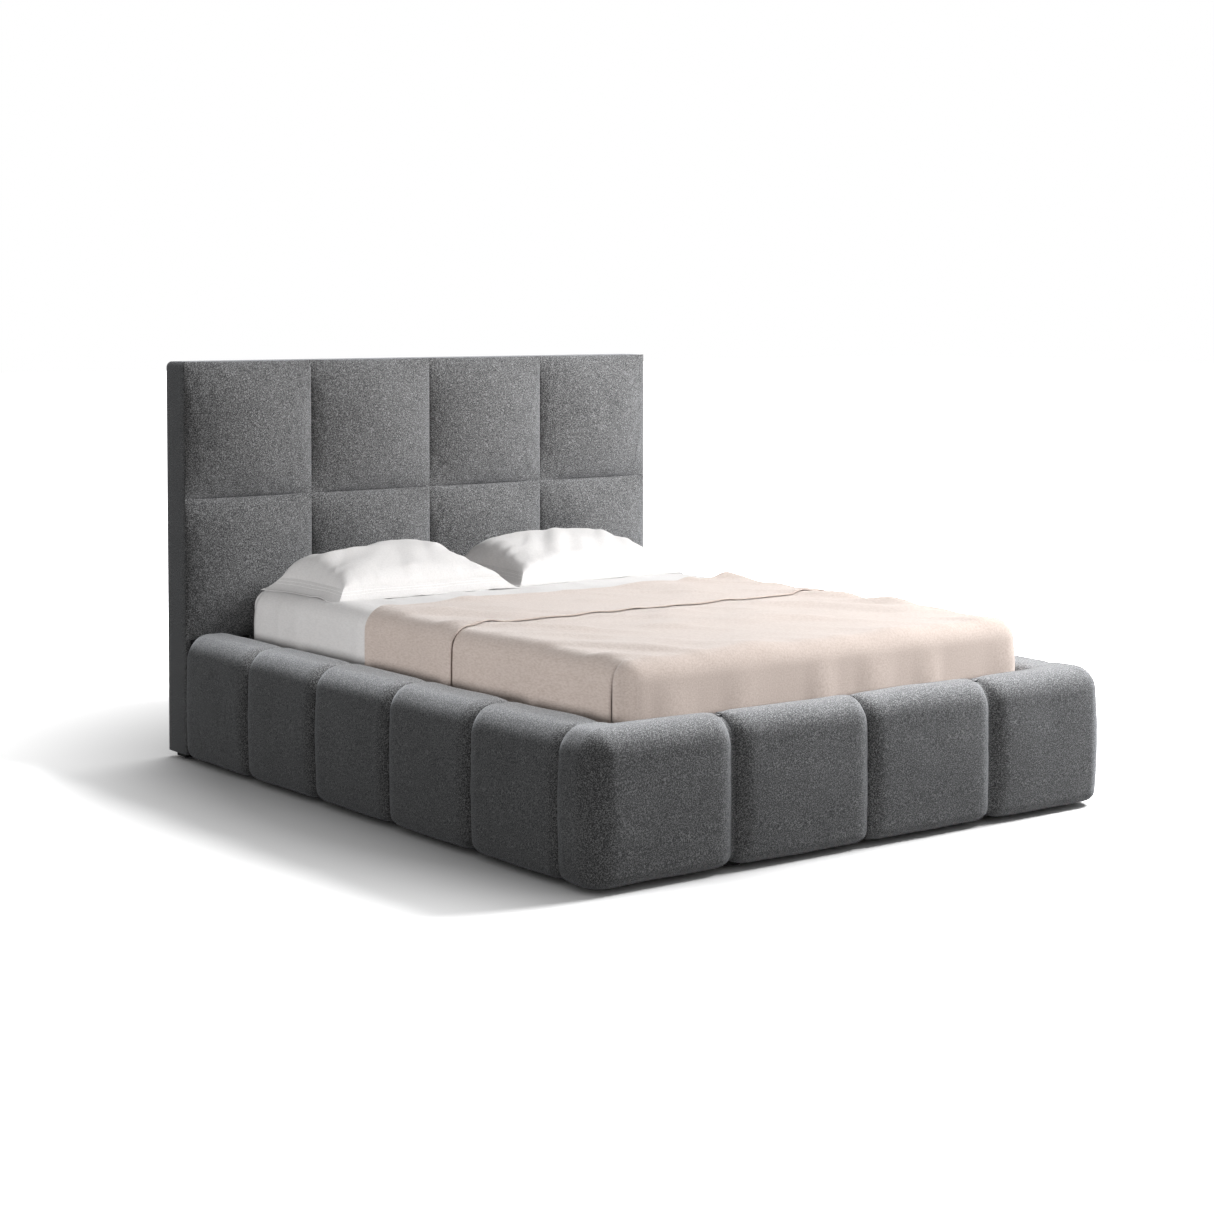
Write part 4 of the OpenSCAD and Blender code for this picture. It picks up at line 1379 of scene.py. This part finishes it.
@dataclass
class Repeat:
    """A piece repeated in rows and columns."""

    start: Triple
    count: int
    step: Triple
    rows: int = 1
    row_step: Triple = (0.0, 0.0, 0.0)

    def lay(
        self, name: str, piece: bpy.types.Object, finish: Finish, body: str, stands_for: tuple[str, ...] = ()
    ) -> bpy.types.Object:
        """Lays the copies and keeps them as one plain mesh.

        Args:
            name: Name of the result.
            piece: The piece, round the origin; it is used up.
            finish: Its material.
            body: The body that it moves with.
            stands_for: Nodes that it replaces.

        Returns:
            The copies as one object.
        """
        holder = bpy.data.objects.new(name, bpy.data.meshes.new(name))
        bpy.context.scene.collection.objects.link(holder)
        values = {
            "Piece": piece,
            "Start": self.start,
            "Count": self.count,
            "Step": self.step,
            "Rows": self.rows,
            "Row Step": self.row_step,
            "Finish": finish.material(),
        }
        GRID.run(holder, values)
        bpy.data.objects.remove(piece)
        return finish_piece(holder, finish, body, stands_for)


@dataclass
class LiftBase:
    """Slats and pull strap of the lifting base."""

    slat_count: int = 14
    slat_width: float = 0.062
    slat_gap: float = 0.008
    slat_bow: float = 0.0035
    slat_thick: float = 0.008

    def bowed_slat(self, length: float, width: float) -> bpy.types.Object:
        """A slat of bent plywood, bowed upwards, with rounded long edges."""
        slat = rounded_block("one_slat", (length, width, self.slat_thick), 0.0025)
        work = bmesh.new()
        work.from_mesh(slat.data)
        for spot in np.linspace(-0.45, 0.45, 13) * length:
            everything = [*work.verts, *work.edges, *work.faces]
            bmesh.ops.bisect_plane(work, geom=everything, plane_co=(spot, 0, 0), plane_no=(1, 0, 0))
        for vert in work.verts:
            vert.co.z += self.slat_bow * (1 - (2 * vert.co.x / length) ** 2)
        work.to_mesh(slat.data)
        work.free()
        return slat

    def slats(self) -> None:
        """Makes both rows of slats."""
        low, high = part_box("slats")
        count, width, gap = self.slat_count, self.slat_width, self.slat_gap
        start = low.y + width / 2
        pitch = (high.y - low.y - width) / (count - 1)
        length = high.x - gap
        middle = gap + length / 2
        height = high.z - self.slat_bow - self.slat_thick / 2 - 0.0004
        Repeat((-middle, start, height), count, (0, pitch, 0), 2, (2 * middle, 0, 0)).lay(
            "bowed_slats", self.bowed_slat(length, width), SLAT_WOOD, BASE_BODY, ("slats",)
        )

    def strap(self) -> None:
        """Makes the pull strap at the foot end of the base."""
        low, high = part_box("lift_strap")
        middle = (low.y + high.y) / 2
        x = np.linspace(low.x, high.x, 7)
        loop = [(middle - 0.0012, z) for z in np.linspace(high.z, low.z + 0.004, 14)]
        loop += [(middle, low.z + 0.0015), (middle + 0.0012, low.z + 0.004)]
        loop += [(middle + 0.0012, z) for z in np.linspace(low.z + 0.012, high.z - 0.03, 11)]
        verts = np.array([(cx, y, z) for y, z in loop for cx in x])
        strap = new_object("lift_strap_webbing", verts, grid_faces(len(loop), len(x)))
        add_modifier(strap, "SOLIDIFY", thickness=0.0012, offset=0.0)
        bake_modifiers(strap)
        finish_piece(strap, WEBBING, BASE_BODY, ("lift_strap",))

    def make(self) -> None:
        """Makes the soft and wooden pieces of the base."""
        self.slats()
        self.strap()


@dataclass
class Fastenings:
    """Staples that the plain nodes don't show."""

    staple_pitch: float = 0.045
    inset: float = 0.012

    def staples(self) -> None:
        """Makes the staples that hold the back cover."""
        low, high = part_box("headboard_back_cover")
        inset = self.inset
        across = int((high.x - low.x - 2 * inset) / self.staple_pitch)
        piece = rounded_block("one_staple", (0.010, 0.0012, 0.0008), 0.0002, 1)
        row = Repeat(
            (low.x + inset, high.y + 0.0002, high.z - inset),
            across,
            ((high.x - low.x - 2 * inset) / (across - 1), 0, 0),
            2,
            (0, 0, low.z - high.z + 2 * inset),
        )
        row.lay("back_staples_rows", piece, ZINC, FRAME_BODY)
        upright = int((high.z - low.z - 4 * inset) / self.staple_pitch)
        piece = rounded_block("one_staple", (0.0008, 0.0012, 0.010), 0.0002, 1)
        column = Repeat(
            (low.x + inset, high.y + 0.0002, low.z + 2 * inset),
            upright,
            (0, 0, (high.z - low.z - 4 * inset) / (upright - 1)),
            2,
            (high.x - low.x - 2 * inset, 0, 0),
        )
        column.lay("back_staples_columns", piece, ZINC, FRAME_BODY)

    def make(self) -> None:
        """Makes all of them."""
        self.staples()


# ------------------------------------------------------- carried-over metalwork


class CarriedOver:
    """The nodes that keep their exact shape and only get a better finish."""

    def make(self) -> None:
        """Gives every node that still shows its finish."""
        slots = {part["node"]: part["material_slot"] for part in frame["record"]["subparts"]}
        for name, obj in frame["nodes"].items():
            if obj.hide_render:
                continue
            obj.data.materials.clear()
            # The headboard front panel takes the black lining in place of its board finish. This is painted
            # shade, so the panel reads dark where it shows in the gaps beside the pads.
            finish = LINING if name == "headboard_front_panel" else CARRIED_OVER[slots[name]]
            obj.data.materials.append(finish.material())
            LOG.info("%s keeps its shape", name)


# --------------------------------------------------------------------- studio


@dataclass
class Studio:
    """Pale floor, soft light and the camera."""

    place: Triple = (-4.279, -5.698, 1.434)
    heading: float = 36.80
    pitch: float = 2.36
    lens: float = 70.70
    shift_y: float = -0.170
    floor_size: float = 80.0
    floor_z: float = -0.0005
    bounce: float = 0.35
    boost: float = 1.15
    ambient: float = 0.22
    sun_power: float = 0.62

    def floor(self) -> None:
        """Makes the floor."""
        half = self.floor_size / 2
        mesh = bpy.data.meshes.new("floor")
        corners = [(-half, -half), (half, -half), (half, half), (-half, half)]
        mesh.from_pydata([(x, y, self.floor_z) for x, y in corners], [], [(0, 1, 2, 3)])
        floor = bpy.data.objects.new("floor", mesh)
        bpy.context.scene.collection.objects.link(floor)
        net = Nodes("floor_white")
        seen = net.add("LightPath").outputs["Is Camera Ray"]
        near = net.add("VectorMath", {0: net.place, 1: (1.1, 0.88, 0.0)}, operation="MULTIPLY").outputs[0]
        away = net.add("VectorMath", {0: near}, operation="LENGTH").outputs["Value"]
        growth = {"Value": away, 1: 1.2, 2: 2.8, 3: self.boost, 4: 4 * self.boost}
        glow = net.add("MapRange", growth).outputs[0]
        shade = net.mix(seen, (self.bounce,) * 3 + (1,), glow)
        net.set(Base_Color=shade, Roughness=1.0, Specular_IOR_Level=0.0)
        floor.data.materials.append(net.made)

    def sun(self) -> None:
        """Adds the light from above on the right that lights the floor evenly."""
        lamp = bpy.data.lights.new("sun", "SUN")
        lamp.energy = self.sun_power
        lamp.angle = math.radians(50)
        obj = bpy.data.objects.new("sun", lamp)
        obj.rotation_euler = Vector((0.50, 0.52, 1.0)).to_track_quat("Z", "Y").to_euler()
        bpy.context.scene.collection.objects.link(obj)

    def light(
        self, name: str, place: Triple, size: float, power: float, only: tuple[str, ...] = ()
    ) -> None:
        """Adds a soft round light that looks at the bed.

        Args:
            name: Name of the light.
            place: Where it stands.
            size: How wide it is.
            power: How bright it is.
            only: If given, it lights only the pieces whose names start so.
        """
        lamp = bpy.data.lights.new(name, "AREA")
        lamp.shape = "DISK"
        lamp.size = size
        lamp.energy = power
        obj = bpy.data.objects.new(name, lamp)
        obj.location = place
        obj.rotation_euler = (Vector((0, 0, 0.4)) - Vector(place)).to_track_quat("-Z", "Y").to_euler()
        bpy.context.scene.collection.objects.link(obj)
        if only:
            lit = bpy.data.collections.new(name + "_lit")
            for piece in bpy.context.scene.collection.objects:
                if piece.name.startswith(only) and piece.type == "MESH":
                    lit.objects.link(piece)
            obj.light_linking.receiver_collection = lit

    def world(self) -> None:
        """Fills the surroundings with white light."""
        world = bpy.data.worlds.new("studio")
        world.use_nodes = True
        tree = world.node_tree
        seen = tree.nodes.new("ShaderNodeLightPath")
        level = tree.nodes.new("ShaderNodeMath")
        level.operation = "MULTIPLY_ADD"
        level.inputs[1].default_value = 1.0 - self.ambient
        level.inputs[2].default_value = self.ambient
        tree.links.new(seen.outputs["Is Camera Ray"], level.inputs[0])
        background = tree.nodes["Background"]
        background.inputs["Color"].default_value = (1, 1, 1, 1)
        tree.links.new(level.outputs[0], background.inputs["Strength"])
        bpy.context.scene.world = world

    def camera(self) -> None:
        """Sets the camera."""
        lens = bpy.data.cameras.new("camera")
        lens.lens = self.lens
        lens.sensor_width = 36
        lens.shift_y = self.shift_y
        lens.clip_end = 200
        camera = bpy.data.objects.new("camera", lens)
        camera.location = self.place
        camera.rotation_euler = (math.radians(90 - self.pitch), 0, math.radians(-self.heading))
        bpy.context.scene.collection.objects.link(camera)
        bpy.context.scene.camera = camera

    def make(self) -> None:
        """Sets up the whole studio."""
        self.floor()
        self.world()
        self.light("key", (3.0, -1.3, 3.0), 1.8, 240)
        self.light("fill", (4.5, -6.5, 2.2), 3.0, 8)
        self.light("bedding_fill", (-4.2, -0.6, 0.75), 1.2, 90, ("pillow", "fitted", "blanket", "mattress"))
        self.light("bedding_front", (2.0, -5.5, 1.7), 1.6, 210, ("blanket", "fitted", "pillow"))
        self.light("rail_crown", (0.0, -0.1, 2.6), 1.2, 74, ("left_rail", "right_rail", "foot_pad"))
        self.sun()
        self.camera()
        bpy.context.scene.view_settings.view_transform = "Standard"


def main() -> None:
    """Builds the bed, the light and the camera."""
    logging.basicConfig(level=logging.INFO, format="%(message)s")
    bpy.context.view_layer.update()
    for part in (RailPads(), Headboard(), Bedding(), LiftBase(), Fastenings(), CarriedOver(), Studio()):
        part.make()
        LOG.info("%s done", type(part).__name__)


if __name__ == "__main__":
    main()
